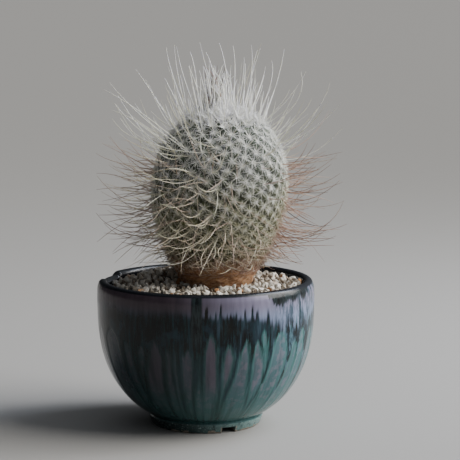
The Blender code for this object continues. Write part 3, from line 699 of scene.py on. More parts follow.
# The lip's crest and the inside carry thin black glaze.
lip_black = layered(tree, "#080A0E", (cloud, "#171A21"))
near_lip = add(tree, "ShaderNodeMath", {"operation": "GREATER_THAN"}, {0: height, 1: LIP_Z - 5 * MM})
coated = layered(tree, body, (milky, milk),
                 (lip_run, layered(tree, "#0A0E10", (thread, 0.38, 0.62, 1.0, "#263032"))),
                 (height, LIP_Z - 1.9 * MM, LIP_Z - 1.1 * MM, 1.0, lip_black),
                 (from_axis, LIP_R - 1.6 * MM, LIP_R - 2.6 * MM, near_lip, lip_black))
print("with the milky band and the lip there are", len(tree.nodes))

# %% [markdown]
# The glaze pools in the joint above the foot, and the colour there is darkened further
# as painted shade under the belly. The foot itself is glazed thinly, painted dark on the
# left and light on the right as painted shade and painted light, its edge is bare clay
# where the glaze was wiped off, and at the notches it has chipped.

# %% The foot and the bare clay
# The foot's glaze is dark on the left and light teal on the right through right: painted shade and painted
# light.
foot_glaze = layered(tree, layered(tree, "#161F20", (cloud, "#333F40")),
                     (right, layered(tree, "#46625F", (cloud, "#8AAAA7"))),
                     (patch, 0.5, 0.62, 0.55, "#141B1B"),
                     (speckle, 0.6, 0.68, 0.5, "#B5CCC8"))
# The pool layer darkens the wall just above the foot: partly glaze pooled in the joint, partly painted shade
# under the belly.
coated = layered(tree, coated, (height, 10 * MM, 7 * MM, pool_and_painted_shade, "#223536"),
                 (height, 5.6 * MM, 4.8 * MM, 1.0, foot_glaze))
wiped_z = add(tree, "ShaderNodeMath", {"operation": "MULTIPLY_ADD"}, {0: patch, 1: 7.0 * MM, 2: -2.5 * MM})
wiped = add(tree, "ShaderNodeMath", {"operation": "LESS_THAN"}, {0: height, 1: wiped_z})
chipped = add(tree, "ShaderNodeMapRange", SMOOTH, {
    0: height, "From Min": 4.4 * MM, "From Max": 3.2 * MM, "To Max": chipped})
ragged = add(tree, "ShaderNodeMath", {"operation": "ADD"}, {0: speckle, 1: 0.15})
chips = add(tree, "ShaderNodeMath", {"operation": "MULTIPLY"}, {0: chipped, 1: ragged})
chips = add(tree, "ShaderNodeMath", {"operation": "GREATER_THAN"}, {0: chips, 1: 0.5})
bare = add(tree, "ShaderNodeMath", {"operation": "MAXIMUM"}, {0: wiped, 1: chips})
in_ring = add(tree, "ShaderNodeMath", {"operation": "LESS_THAN"}, {
    0: from_axis, 1: FOOT_INSIDE_R + 0.3 * MM})
near_ground = add(tree, "ShaderNodeMath", {"operation": "LESS_THAN"}, {
    0: height, 1: FOOT_ROOF_Z + 0.3 * MM})
under = add(tree, "ShaderNodeMath", {"operation": "MULTIPLY"}, {0: in_ring, 1: near_ground})
bare = add(tree, "ShaderNodeMath", {"operation": "MAXIMUM"}, {0: bare, 1: under})
finished = layered(tree, coated, (bare, layered(tree, "#2A2420", (speckle, "#B4A898"))))
print("and with the foot", len(tree.nodes))

# %% Gloss and relief
gloss = add(tree, "ShaderNodeMapRange", inputs={
    0: speckle, "From Min": 0.3, "From Max": 0.75, "To Min": 0.1, "To Max": 0.2})
for share, roughness in ((milky, 0.24), (bare, 0.85)):
    gloss = add(tree, "ShaderNodeMix", {"data_type": "FLOAT"}, {0: share, 2: gloss, 3: roughness})
relief = add(tree, "ShaderNodeMath", {"operation": "ADD"}, {0: dimple, 1: curtain})
bump = add(tree, "ShaderNodeBump", inputs={"Height": relief, "Strength": 0.25, "Distance": 0.25 * MM})
feed(tree, shader, {"Base Color": finished, "Roughness": gloss, "Normal": bump})
bowl_cut.materials.clear()
bowl_cut.materials.append(glaze)
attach(bowl, "root")
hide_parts("glazed_bowl")

# %% [markdown]
# The net over the drain hole is punched black polypropylene. Its CAD shape is right, so
# it stays and only gets its material: dark, half-glossy, with the fine haze of moulding.

# %% Net material
net_material, tree, shader = new_material("black_polypropylene_net", IOR=1.49)
place = add(tree, "ShaderNodeTexCoord").outputs["Object"]
haze = add(tree, "ShaderNodeTexNoise", inputs={"Vector": place, "Scale": 1 / (0.6 * MM)})
matt = add(tree, "ShaderNodeMapRange", inputs={0: haze, "To Min": 0.4, "To Max": 0.6})
feed(tree, shader, {"Base Color": layered(tree, "#141414", (haze, "#2A2A2A")), "Roughness": matt})
net = frame["nodes"]["drain_net"]
net.data.materials.clear()
net.data.materials.append(net_material)

# %% [markdown]
# The grit is crushed pumice, sieved to 2.5 to 4.5 mm. Loose grains lie at every angle
# with dark gaps between them. Each grain is a broken stone with flat faces: the convex
# hull of twenty random points gives just that, in eight versions. A Geometry Nodes tree
# scatters them over the surface of the filling, and beneath them lies a bed, the dust and
# the lower grains that fill the bowl, coloured near black as painted shade in the gaps.
# The grit is heaped behind the stem, and has sunk a little towards the wall on the left.

# %% The surface of the grit
EDGE_Z, HEAP, HEAP_X, HEAP_Y, HEAP_R = 78.0 * MM, 3.6 * MM, -17 * MM, 22 * MM, 15 * MM
HOLLOW = 1.7 * MM
GRIT_R = inside_radius(EDGE_Z) - 0.3 * MM
STEM_FOOT_X, STEM_FOOT_R = 6.0 * MM, 20.0 * MM


def grit_level(x, y):
    """Height of the grit at a place measured from the bowl's axis."""
    heap = HEAP * math.exp(-((x - HEAP_X) ** 2 + (y - HEAP_Y) ** 2) / (2 * HEAP_R ** 2))
    to_wall = smoothstep(38 * MM, 54 * MM, math.hypot(x, y))
    hollow = HOLLOW * to_wall * smoothstep(-0.2, 0.7, (y - x) / math.hypot(x, y, MM))
    return EDGE_Z + heap + 0.9 * MM * (1 - to_wall) - hollow


print("the grit rises", round((grit_level(HEAP_X, HEAP_Y) - EDGE_Z) / MM, 1), "mm behind the stem")

# %% The bed under the grains
BED_RINGS, BED_TURNS, BED_DROP = 36, 120, 1.6 * MM
bed_points = [(0.0, 0.0, grit_level(0, 0) - BED_DROP)]
for ring in range(1, BED_RINGS + 1):
    for turn in range(BED_TURNS):
        radius, azimuth = (GRIT_R + 0.2 * MM) * ring / BED_RINGS, math.tau * turn / BED_TURNS
        x, y = radius * math.cos(azimuth), radius * math.sin(azimuth)
        rough = noise.noise(Vector((x, y, 0)) / (2.6 * MM)) * 0.9 * MM
        bed_points.append((x, y, grit_level(x, y) - BED_DROP + rough))
# A skirt and a flat underside close the bed below.
foot_of_bed = len(bed_points)
for turn in range(BED_TURNS):
    azimuth = math.tau * turn / BED_TURNS
    bed_points.append((GRIT_R * math.cos(azimuth), GRIT_R * math.sin(azimuth), EDGE_Z - 8 * MM))
bed_faces = [(0, 1 + turn, 1 + (turn + 1) % BED_TURNS) for turn in range(BED_TURNS)]
bed_faces += lathe_faces(BED_RINGS + 1, BED_TURNS, inward=True, first=1)
bed_faces.append([foot_of_bed + turn for turn in reversed(range(BED_TURNS))])
bed_points = [(x + BOWL_X, y + BOWL_Y, z) for x, y, z in bed_points]
bed_mesh = mesh_from("grit_bed", bed_points, bed_faces)
print("grit bed", len(bed_faces), "faces")

# %% [markdown]
# The scattering tree: Distribute Points on Faces in its Poisson mode keeps grains from
# crowding, each point gets a random version of the grain, a random turn and a random
# size, and a random tint that the material reads. Two layers overlap, so that no bare
# bed shows between the grains of the upper one.

# %% Eight versions of a grain
GRAIN_VERSIONS, GRAIN_CORNERS, GRAIN_SEED = 8, 20, 40
grain_group = bpy.data.collections.new("grains")
for version in range(GRAIN_VERSIONS):
    rng = random.Random(GRAIN_SEED + version)
    stretch = (rng.uniform(0.9, 1.25), rng.uniform(0.7, 1.0), rng.uniform(0.55, 0.85))
    bm = bmesh.new()
    for _ in range(GRAIN_CORNERS):
        spot = Vector((rng.gauss(0, 1), rng.gauss(0, 1), rng.gauss(0, 1))).normalized()
        spot *= rng.uniform(0.82, 1.08)
        bm.verts.new([part * size for part, size in zip(spot, stretch)])
    hull = bmesh.ops.convex_hull(bm, input=bm.verts)
    bmesh.ops.delete(bm, geom=[e for e in hull["geom_interior"] if isinstance(e, bmesh.types.BMVert)],
                     context="VERTS")
    grain_mesh = bpy.data.meshes.new(f"grain_{version}")
    bm.to_mesh(grain_mesh)
    bm.free()
    grain_group.objects.link(bpy.data.objects.new(f"grain_{version}", grain_mesh))
print("a grain has about", len(grain_mesh.polygons), "faces")

# %% Grit material
pumice, tree, shader = new_material("crushed_pumice", Roughness=0.88, IOR=1.5,
                                    Subsurface_Weight=0.08, Subsurface_Scale=1.0,
                                    Subsurface_Radius=(1.2 * MM, 1.0 * MM, 0.8 * MM))
place = add(tree, "ShaderNodeTexCoord").outputs["Object"]
tint = add(tree, "ShaderNodeAttribute", {"attribute_name": "grain_tint"}).outputs["Fac"]
tints = add(tree, "ShaderNodeValToRGB", inputs={0: tint}, stops=(
    (0.0, "#6B5E4F"), (1.0, "#E2DDD3"), (0.16, "#76695A"), (0.28, "#978C7C"), (0.55, "#B9B1A4"),
    (0.94, "#DAD5CB"), (0.95, "#A87440"), (0.965, "#8C6440"), (0.97, "#CFC9BE")))
grime = add(tree, "ShaderNodeTexNoise", inputs={"Vector": place, "Scale": 1 / (1.3 * MM), "Detail": 5.0})
dirt = add(tree, "ShaderNodeMapRange", inputs={0: grime, "From Min": 0.52, "From Max": 0.75, "To Max": 0.6})
pores = add(tree, "ShaderNodeTexVoronoi", inputs={"Vector": place, "Scale": 1 / (0.45 * MM)})
pitted = add(tree, "ShaderNodeBump", inputs={"Height": pores, "Strength": 0.35, "Distance": 0.15 * MM})
feed(tree, shader, {"Base Color": layered(tree, tints, (dirt, "#8B775F")), "Normal": pitted})

# The bed's near-black colour is painted shade for the gaps between the grains, with some dust colour in its
# mottle.
bed_material, tree, shader = new_material("pumice_dust_and_painted_shade", Roughness=0.95)
place = add(tree, "ShaderNodeTexCoord").outputs["Object"]
dust_and_shade = add(tree, "ShaderNodeTexNoise", inputs={"Vector": place, "Scale": 1 / (1.1 * MM), "Detail": 4.0})
crumbly = add(tree, "ShaderNodeBump", inputs={"Height": dust_and_shade, "Strength": 0.6, "Distance": 0.4 * MM})
feed(tree, shader, {"Base Color": layered(tree, "#1C1611", (dust_and_shade, "#6B5C4A")), "Normal": crumbly})

# %% The scattering tree
tree, source, result = new_tree("scatter_grains", {
    "Spacing": "Float", "Smallest": "Float", "Largest": "Float", "Seed": "Int",
    "Grains": "Collection", "Material": "Material"})
seed = source.outputs["Seed"]
spots = add(tree, "GeometryNodeDistributePointsOnFaces", {"distribute_method": "POISSON"}, {
    "Mesh": source.outputs["Geometry"], "Distance Min": source.outputs["Spacing"],
    "Density Max": 4e5, "Seed": seed})
versions = add(tree, "GeometryNodeCollectionInfo", inputs={
    "Collection": source.outputs["Grains"], "Separate Children": True, "Reset Children": True})
size = add(tree, "FunctionNodeRandomValue", {"data_type": "FLOAT"}, {
    2: source.outputs["Smallest"], 3: source.outputs["Largest"], "Seed": seed})
turn = add(tree, "FunctionNodeRandomValue", {"data_type": "FLOAT_VECTOR"}, {
    0: (0, 0, 0), 1: (math.tau, math.tau, math.tau), "Seed": seed})
turn = add(tree, "FunctionNodeEulerToRotation", inputs={0: turn})
placed = add(tree, "GeometryNodeInstanceOnPoints", inputs={
    "Points": spots, "Instance": versions, "Pick Instance": True, "Rotation": turn, "Scale": size})
tint = add(tree, "FunctionNodeRandomValue", {"data_type": "FLOAT"}, {2: 0.0, 3: 1.0, "Seed": seed})
tinted = add(tree, "GeometryNodeStoreNamedAttribute", {"data_type": "FLOAT", "domain": "INSTANCE"}, {
    "Geometry": placed, "Name": "grain_tint", "Value": tint})
real = add(tree, "GeometryNodeRealizeInstances", inputs={0: tinted})
finished = add(tree, "GeometryNodeSetMaterial", inputs={
    "Geometry": real, "Material": source.outputs["Material"]})
feed(tree, result, {0: finished})
scatter_tree = tree
print("the scattering tree has", len(tree.nodes), "nodes")

# %% Scatter two layers of grains
PATCH_RINGS, PATCH_TURNS = 14, 72
PATCH_INNER_R, PATCH_OUTER_R = STEM_FOOT_R + 0.4 * MM, GRIT_R - 1.7 * MM
# Each layer: how deep it lies, its spacing, its smallest and largest grains (mm), its seed.
GRAIN_LAYERS = ((1.8, 2.4, 0.9, 1.6, 3), (0.3, 3.1, 1.0, 2.5, 8))


def grit_patch(drop):
    """A sheet under the grains, with a hole where the stem stands."""
    points = []
    for ring in range(PATCH_RINGS + 1):
        part = ring / PATCH_RINGS
        radius = PATCH_INNER_R + (PATCH_OUTER_R - PATCH_INNER_R) * part
        for turn in range(PATCH_TURNS):
            x = STEM_FOOT_X * (1 - part) + radius * math.cos(math.tau * turn / PATCH_TURNS)
            y = radius * math.sin(math.tau * turn / PATCH_TURNS)
            points.append((x + BOWL_X, y + BOWL_Y, grit_level(x, y) - drop))
    return mesh_from("grit_patch", points, lathe_faces(PATCH_RINGS + 1, PATCH_TURNS, inward=True))


grit_pieces = []
for layer, (drop, spacing, smallest, largest, seed) in enumerate(GRAIN_LAYERS):
    grit_pieces.append(grow(f"pumice_grains_{layer}", grit_patch(drop * MM), scatter_tree, {
        "Spacing": spacing * MM, "Smallest": smallest * MM, "Largest": largest * MM,
        "Seed": seed, "Grains": grain_group, "Material": pumice}))
grit_pieces.append(new_object("pumice_bed", bed_mesh, bed_material))
for piece in grit_pieces:
    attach(piece, "root")
    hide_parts("pumice_grit")
for version in list(grain_group.objects):
    bpy.data.objects.remove(version)
bpy.data.collections.remove(grain_group)

# %% [markdown]
# The stem is one living body, so it is one mesh. Its outline is a rounded club that
# narrows to a corky brown waist at the soil. On such a cactus the skin is raised into
# cone-shaped tubercles, each with an areole at its tip, and the areoles follow the
# golden angle, as the seeds of a sunflower do. The rule is easy to code: each areole
# stands 137.5 degrees further round than the last, and so much higher that each has
# the same patch of skin.

# %% The outline of the stem
CROWN_Z, WIDEST_Z, WAIST_Z, COLLAR_Z = 173 * MM, 127 * MM, 87.5 * MM, 82.5 * MM
STEM_R, WAIST_R, COLLAR_R = 36.8 * MM, 23.6 * MM, 21.2 * MM
CROWN_POWER, FLANK_POWER, STEM_LEAN = 2.3, 1.6, 0.035
STEM_FOOT_Z = 76 * MM


def stem_radius(z):
    """Radius over the tips of the tubercles."""
    if z >= WIDEST_Z:
        part = min(1.0, (z - WIDEST_Z) / (CROWN_Z - WIDEST_Z))
        return STEM_R * (1 - part ** CROWN_POWER) ** (1 / CROWN_POWER)
    if z >= WAIST_Z:
        part = (WIDEST_Z - z) / (WIDEST_Z - WAIST_Z)
        return WAIST_R + (STEM_R - WAIST_R) * (1 - part ** FLANK_POWER)
    return COLLAR_R + (WAIST_R - COLLAR_R) * (z - COLLAR_Z) / (WAIST_Z - COLLAR_Z)


def stem_middle(z):
    return Vector((BOWL_X + STEM_FOOT_X + STEM_LEAN * max(0.0, z - COLLAR_Z), BOWL_Y, z))


def outline_samples():
    """Heights from the foot to the crown, closer together where the crown turns flat."""
    heights = list(np.linspace(STEM_FOOT_Z, WIDEST_Z, 900, endpoint=False))
    heights += [WIDEST_Z + (CROWN_Z - WIDEST_Z) * math.sin(turn)
                for turn in np.linspace(0, math.pi / 2, 1200)]
    radii = [stem_radius(z) for z in heights]
    arcs = [0.0]
    for step in range(1, len(heights)):
        arcs.append(arcs[-1] + math.hypot(heights[step] - heights[step - 1],
                                          radii[step] - radii[step - 1]))
    return np.array(arcs), np.array(heights), np.array(radii)


arcs, heights, radii = outline_samples()
print("the outline is", round(arcs[-1] / MM), "mm long from foot to crown")

# %% The skin's own directions
TUBERCLE_RISE = 3.3 * MM


def on_outline(arc):
    """Height, radius and the way the outline runs there, as (outward, up)."""
    z, radius = float(np.interp(arc, arcs, heights)), float(np.interp(arc, arcs, radii))
    before, after = max(arc - 0.4 * MM, 0.0), min(arc + 0.4 * MM, arcs[-1])
    rise = np.interp(after, arcs, heights) - np.interp(before, arcs, heights)
    widen = np.interp(after, arcs, radii) - np.interp(before, arcs, radii)
    return z, radius, Vector((widen, rise)).normalized()


def skin_grown(z):
    """The share of their full height that the tubercles have: none left at the waist."""
    return smoothstep(86 * MM, 97 * MM, z)


def skin_frame(arc, azimuth):
    """A point in the valleys of the skin, with its outward, crownward and sideways directions."""
    z, radius, run = on_outline(arc)
    out = Vector((math.cos(azimuth), math.sin(azimuth), 0))
    outward = (out * run.y - Vector((0, 0, 1)) * run.x).normalized()
    crownward = (out * run.x + Vector((0, 0, 1)) * run.y).normalized()
    valley_spot = stem_middle(z) + out * radius - outward * TUBERCLE_RISE * skin_grown(z)
    return valley_spot, outward, crownward, outward.cross(crownward)


print("at the crown the skin faces", [round(part, 2) for part in skin_frame(arcs[-1], 0)[1]])

# %% Where the areoles stand
GOLDEN_ANGLE = math.pi * (3 - math.sqrt(5))
AREOLE_START_Z, UNEVEN = 88.6 * MM, 0.4 * MM
AREOLE_SPACING, WAIST_SPACING, CROWN_SPACING = 6.2 * MM, 4.8 * MM, 4.2 * MM
# In a packing of triangles each point has this share of its spacing squared.
TRIANGLE_PACKING = 0.866
areoles = []
arc = float(np.interp(AREOLE_START_Z, heights, arcs))
turn = 0.0
growth_rng = random.Random(21)
while arc < arcs[-1] - 0.3 * MM:
    z, radius, _ = on_outline(arc)
    unevenness = growth_rng.gauss(0, UNEVEN)
    areoles.append((arc + growth_rng.gauss(0, UNEVEN),
                    (turn + unevenness / max(radius, 8 * MM)) % math.tau))
    share = smoothstep(arcs[-1] - 24 * MM, arcs[-1], arc)
    spacing = AREOLE_SPACING + (CROWN_SPACING - AREOLE_SPACING) * share
    spacing += (WAIST_SPACING - AREOLE_SPACING) * (1 - smoothstep(100 * MM, 130 * MM, z))
    arc += TRIANGLE_PACKING * spacing ** 2 / (math.tau * max(radius, 1.6 * MM))
    turn -= GOLDEN_ANGLE
print(len(areoles), "areoles")

# %% Raise the tubercles
STEM_TURNS, STEM_ROWS = 330, 165
tips = kdtree.KDTree(len(areoles))
for index, (arc, azimuth) in enumerate(areoles):
    tips.insert(skin_frame(arc, azimuth)[0], index)
tips.balance()

stem_points, valley_values, cork_values = [], [], []
for row in range(STEM_ROWS):
    arc = (arcs[-1] - 0.25 * MM) * row / (STEM_ROWS - 1)
    z = on_outline(arc)[0]
    for turn in range(STEM_TURNS):
        azimuth = math.tau * turn / STEM_TURNS
        spot, outward, _, _ = skin_frame(arc, azimuth)
        (_, _, near), (_, _, second) = tips.find_n(spot, 2)
        valley = near / second if second > 0 else 0.0
        patchy = 4 * MM * noise.noise(spot / (7 * MM))
        cork = 1 - smoothstep(87 * MM, 97 * MM, z + patchy)
        wrinkle = noise.noise(Vector((spot.x, spot.y, spot.z * 3.2)) / (6 * MM))
        wrinkle += 0.5 * noise.noise(Vector((spot.x, spot.y, spot.z * 2.5)) / (2.2 * MM))
        lift = TUBERCLE_RISE * skin_grown(z) * (1 - valley ** 1.7) + 0.7 * MM * cork * wrinkle
        stem_points.append(spot + outward * lift)
        valley_values.append(valley)
        cork_values.append(cork)
faces = lathe_faces(STEM_ROWS, STEM_TURNS)
top = len(stem_points)
stem_points.append(stem_middle(CROWN_Z - 0.8 * TUBERCLE_RISE))
valley_values.append(0.3)
cork_values.append(0.0)
last_row = (STEM_ROWS - 1) * STEM_TURNS
faces += [(last_row + turn, last_row + (turn + 1) % STEM_TURNS, top) for turn in range(STEM_TURNS)]
faces.append(list(reversed(range(STEM_TURNS))))
stem_mesh = mesh_from("stem_skin", stem_points, faces)
store(stem_mesh, "valley", valley_values)
store(stem_mesh, "cork", cork_values)
print("stem mesh", len(faces), "faces")

# %% [markdown]
# Living skin is a dull, slightly waxy green, darker in the valleys between tubercles
# where no light falls, and olive where it is old. At the waist the skin has turned to
# cork: dry, orange-brown, with flakes and wrinkles that run round the stem.

# %% Stem material
skin, tree, shader = new_material("cactus_skin_and_cork", IOR=1.45, Subsurface_Weight=0.12,
                                  Subsurface_Scale=1.0,
                                  Subsurface_Radius=(0.8 * MM, 1.4 * MM, 0.5 * MM))
place = add(tree, "ShaderNodeTexCoord").outputs["Object"]
height = add(tree, "ShaderNodeSeparateXYZ", inputs={"Vector": place}).outputs["Z"]
valley, cork = [add(tree, "ShaderNodeAttribute", {"attribute_name": name}).outputs["Fac"]
                for name in ("valley", "cork")]
mottle = add(tree, "ShaderNodeTexNoise", inputs={"Vector": place, "Scale": 1 / (5 * MM), "Detail": 4.0})
squeezed = add(tree, "ShaderNodeMapping", inputs={"Vector": place, "Scale": (1, 1, 2)})
flakes = add(tree, "ShaderNodeTexNoise", inputs={
    "Vector": squeezed, "Scale": 1 / (2.2 * MM), "Detail": 6.0, "Roughness": 0.7})
brown = add(tree, "ShaderNodeValToRGB", inputs={0: flakes}, stops=(
    (0.3, "#6E4D39"), (0.72, "#CFB295"), (0.5, "#A87D59")))
# The valley layer darkens the skin between the tubercles: painted shade.
stem_colour = layered(tree, "#39443A", (mottle, "#66745F"), (height, 156 * MM, 106 * MM, 0.8, "#6C6A3D"),
                      (valley, 0.35, 1.0, 0.75, "#151C12"), (cork, brown))
waxy = add(tree, "ShaderNodeMapRange", inputs={0: cork, "To Min": 0.5, "To Max": 0.88})
flaky = add(tree, "ShaderNodeBump", inputs={"Height": flakes, "Strength": 0.5, "Distance": 0.5 * MM})
feed(tree, shader, {"Base Color": stem_colour, "Roughness": waxy, "Normal": flaky})
stem = new_object("stem_skin", stem_mesh, skin)

# %% [markdown]
# All the spines are one idea: a thin tapering rod that leaves an areole and bends. So
# one Geometry Nodes tree makes them all. It is given bare points, and each point
# carries where its spine is rooted, where it aims, how it sweeps and curls aside towards
# its tip and how thick it is. The tree puts a straight line on each point, bends the
# lines by root + aim * t + sweep * t^2 + curl * t^3, where t runs from 0 to 1 along the
# spine, and wraps a few-sided skin round them.

# %% The spine tree
tree, source, result = new_tree("grow_spines", {
    "Rings": "Int", "Sides": "Int", "Tip Share": "Float", "Material": "Material"})
root, aim_to, sweep, curl, thick = [
    add(tree, "GeometryNodeInputNamedAttribute", {"data_type": kind}, {"Name": name})
    for name, kind in (("root", "FLOAT_VECTOR"), ("aim", "FLOAT_VECTOR"), ("sweep", "FLOAT_VECTOR"),
                       ("curl", "FLOAT_VECTOR"), ("thick", "FLOAT"))]
line = add(tree, "GeometryNodeCurvePrimitiveLine", inputs={"Start": (0, 0, 0), "End": (0, 0, 1)})
rings = add(tree, "GeometryNodeResampleCurve", inputs={"Curve": line, "Count": source.outputs["Rings"]})
lines = add(tree, "GeometryNodeInstanceOnPoints", inputs={
    "Points": source.outputs["Geometry"], "Instance": rings})
lines = add(tree, "GeometryNodeRealizeInstances", inputs={0: lines})
along = add(tree, "GeometryNodeSplineParameter").outputs["Factor"]
bent = root
for power, term in ((1.0, aim_to), (2.0, sweep), (3.0, curl)):
    share = add(tree, "ShaderNodeMath", {"operation": "POWER"}, {0: along, 1: power})
    moved = add(tree, "ShaderNodeVectorMath", {"operation": "SCALE"}, {0: term, "Scale": share})
    bent = add(tree, "ShaderNodeVectorMath", {"operation": "ADD"}, {0: bent, 1: moved})
lines = add(tree, "GeometryNodeSetPosition", inputs={"Geometry": lines, "Position": bent})
lines = add(tree, "GeometryNodeStoreNamedAttribute", {"data_type": "FLOAT", "domain": "POINT"}, {
    "Geometry": lines, "Name": "along", "Value": along})
taper = add(tree, "ShaderNodeMath", {"operation": "POWER"}, {0: along, 1: 3.0})
taper = add(tree, "ShaderNodeMix", {"data_type": "FLOAT"}, {
    0: taper, 2: 1.0, 3: source.outputs["Tip Share"]})
thickness = add(tree, "ShaderNodeMath", {"operation": "MULTIPLY"}, {0: taper, 1: thick})
outline = add(tree, "GeometryNodeCurvePrimitiveCircle", inputs={
    "Resolution": source.outputs["Sides"], "Radius": 1.0})
rods = add(tree, "GeometryNodeCurveToMesh", inputs={
    "Curve": lines, "Profile Curve": outline, "Scale": thickness, "Fill Caps": True})
real = add(tree, "GeometryNodeRealizeInstances", inputs={0: rods})
finished = add(tree, "GeometryNodeSetMaterial", inputs={
    "Geometry": real, "Material": source.outputs["Material"]})
feed(tree, result, {0: finished})
spine_tree = tree
print("the spine tree has", len(tree.nodes), "nodes")


# %% Grow a set of spines
def grow_spines(name, spines, rings, sides, material, tip_share=0.3):
    """spines: a list of (root, aim, sweep, curl, half the thickness, age)."""
    mesh = bpy.data.meshes.new(name + "_roots")
    mesh.vertices.add(len(spines))
    mesh.vertices.foreach_set("co", np.array([spine[0] for spine in spines], dtype=np.float32).ravel())
    for column, label in enumerate(("root", "aim", "sweep", "curl")):
        store(mesh, label, np.array([spine[column] for spine in spines]), "FLOAT_VECTOR")
    store(mesh, "thick", [spine[4] for spine in spines])
    store(mesh, "age", [spine[5] for spine in spines])
    piece = grow(name, mesh, spine_tree, {
        "Rings": rings, "Sides": sides, "Tip Share": tip_share, "Material": material})
    piece.data.shade_smooth()
    return piece


# %% [markdown]
# Spines are horn-like and half glossy. Young ones at the crown are chalk white; with
# age they turn cream, then tan with a reddish cast, and the old ones darken at the tip.
# The tree keeps age and the place along the spine, and the material blends the colours.

# %% Spine material
horn, tree, shader = new_material("spine_horn", Roughness=0.5, IOR=1.5, Subsurface_Weight=0.25,
                                  Subsurface_Scale=1.0,
                                  Subsurface_Radius=(0.3 * MM, 0.3 * MM, 0.2 * MM))
age, along = [add(tree, "ShaderNodeAttribute", {"attribute_name": name}).outputs["Fac"]
              for name in ("age", "along")]
ages = add(tree, "ShaderNodeValToRGB", inputs={0: age}, stops=(
    (0.0, "#F9F8F6"), (1.0, "#33241C"), (0.2, "#EAE9E2"), (0.4, "#DAD6BC"), (0.58, "#C4B19F"),
    (0.76, "#B39888"), (0.9, "#96715F"), (0.96, "#7C5436")))
place = add(tree, "ShaderNodeTexCoord").outputs["Object"]
streaks = add(tree, "ShaderNodeTexNoise", inputs={"Vector": place, "Scale": 1 / (6 * MM), "Detail": 2.0})
old_tip = add(tree, "ShaderNodeMath", {"operation": "MULTIPLY"}, {0: streaks, 1: age})
feed(tree, shader, {"Base Color": layered(tree, ages, (along, 0.45, 1.0, old_tip, "#5A433A"))})

# %% [markdown]
# Each areole has 17 to 21 white radial spines, fewer low down, that spread like a star
# over its tubercle, and two central spines that stand out, the twins that the plant is
# named for. Real radial spines are 0.2 to 0.4 mm thick. The crown's are drawn at the
# upper end of that, so that they show, and the others thinner, so that the tubercles
# show between them. Low on the right side the spines are older and browner.

# %% The radial spines
RADIAL_LENGTH = 4.5 * MM
FEWEST_RADIALS, MOST_RADIALS, LOST_LOW_DOWN = 17, 21, 3
spine_rng = random.Random(12)
NO_CURL = Vector((0, 0, 0))


def crown_share(spot, low, high):
    """How far a place belongs to the woolly crown, which ends highest on the left."""
    side = spot.x - stem_middle(spot.z).x
    return smoothstep(low * MM, high * MM, spot.z + 0.25 * min(0.0, side) - 0.16 * max(0.0, side))


def right_flank(azimuth, z):
    """How far a place belongs to the low right side, where the spines are browner."""
    return plateau(0.9, 1.4, 2.3, 2.7, bearing_of(azimuth)) * (1 - smoothstep(118 * MM, 150 * MM, z))


def tubercle_tip(arc, azimuth):
    """The top of a tubercle, where its spines stand, with the three ways of the skin."""
    spot, outward, crownward, sideways = skin_frame(arc, azimuth)
    return (spot + outward * (TUBERCLE_RISE * skin_grown(spot.z) - 0.1 * MM),
            outward, crownward, sideways)


radials = []
for arc, azimuth in areoles:
    tip_spot, outward, crownward, sideways = tubercle_tip(arc, azimuth)
    crown = crown_share(tip_spot, 157, 171)
    low = 1 - smoothstep(100 * MM, 126 * MM, tip_spot.z)
    yellowed = 1 - smoothstep(100 * MM, 150 * MM, tip_spot.z)
    browned = 1 - smoothstep(88 * MM, 103 * MM, tip_spot.z)
    browned += 0.7 * right_flank(azimuth, tip_spot.z)
    upper = crown_share(tip_spot, 120, 150)
    count = spine_rng.randint(FEWEST_RADIALS, MOST_RADIALS) - round(LOST_LOW_DOWN * low)
    first, full = spine_rng.uniform(0, math.tau), spine_rng.uniform(0.8, 1.1)
    for k in range(count):
        angle = first + math.tau * (k + spine_rng.uniform(-0.35, 0.35)) / count
        length = RADIAL_LENGTH * full * spine_rng.uniform(0.75, 1.12)
        length *= 1 + 0.14 * upper + 0.26 * crown
        flat = sideways * math.cos(angle) + crownward * math.sin(angle)
        rise = 0.42 + spine_rng.uniform(-0.25, 0.3) * (1 + low) + 1.1 * crown
        aim_to = (flat + outward * rise).normalized() * length
        sweep = sideways * spine_rng.gauss(0, 0.12) - outward * spine_rng.uniform(0.0, 0.22)
        age = 0.14 * (1 - crown) + 0.24 * yellowed + 0.35 * browned + spine_rng.uniform(-0.05, 0.1)
        radials.append((tip_spot + flat * 0.35 * MM, aim_to, sweep * length, NO_CURL,
                        (0.11 + 0.02 * upper + 0.06 * crown) * MM, clamp(age)))
radial_piece = grow_spines("radial_spines", radials, 3, 3, horn)
print(len(radials), "radial spines")

# %% [markdown]
# The central spines change with age. On the crown they are white and upright, and make
# a brush. On the shoulders they are cream and arch out and up. On the flanks they are
# tan and stand off nearly level, and on the shaded side they bend back over the body.
# At the waist they are a tangle of short, pale and drooping ones, with a nest of dead
# brown ones below. Each zone has its own rule, mixed from the skin's outward, crownward
# and sideways directions with some chance. The crown's are drawn up to 0.6 mm thick, a
# little more than life, so that they show. The room for all of them is the packed
# model's box: a spine that would leave it is shortened.

# %% Room for the central spines
UP, SHADED_SIDE = Vector((0, 0, 1)), Vector((-1, -0.1, 0))
ROOM_MARGIN, TRIES, SHORTENED = 0.3 * MM, 40, 0.93
ROOM_LOW = Vector((cad_box[0][0] + ROOM_MARGIN, cad_box[0][1] + ROOM_MARGIN, 90 * MM))
ROOM_HIGH = Vector(cad_box[1]) - Vector((1, 1, 1)) * ROOM_MARGIN
centrals = []


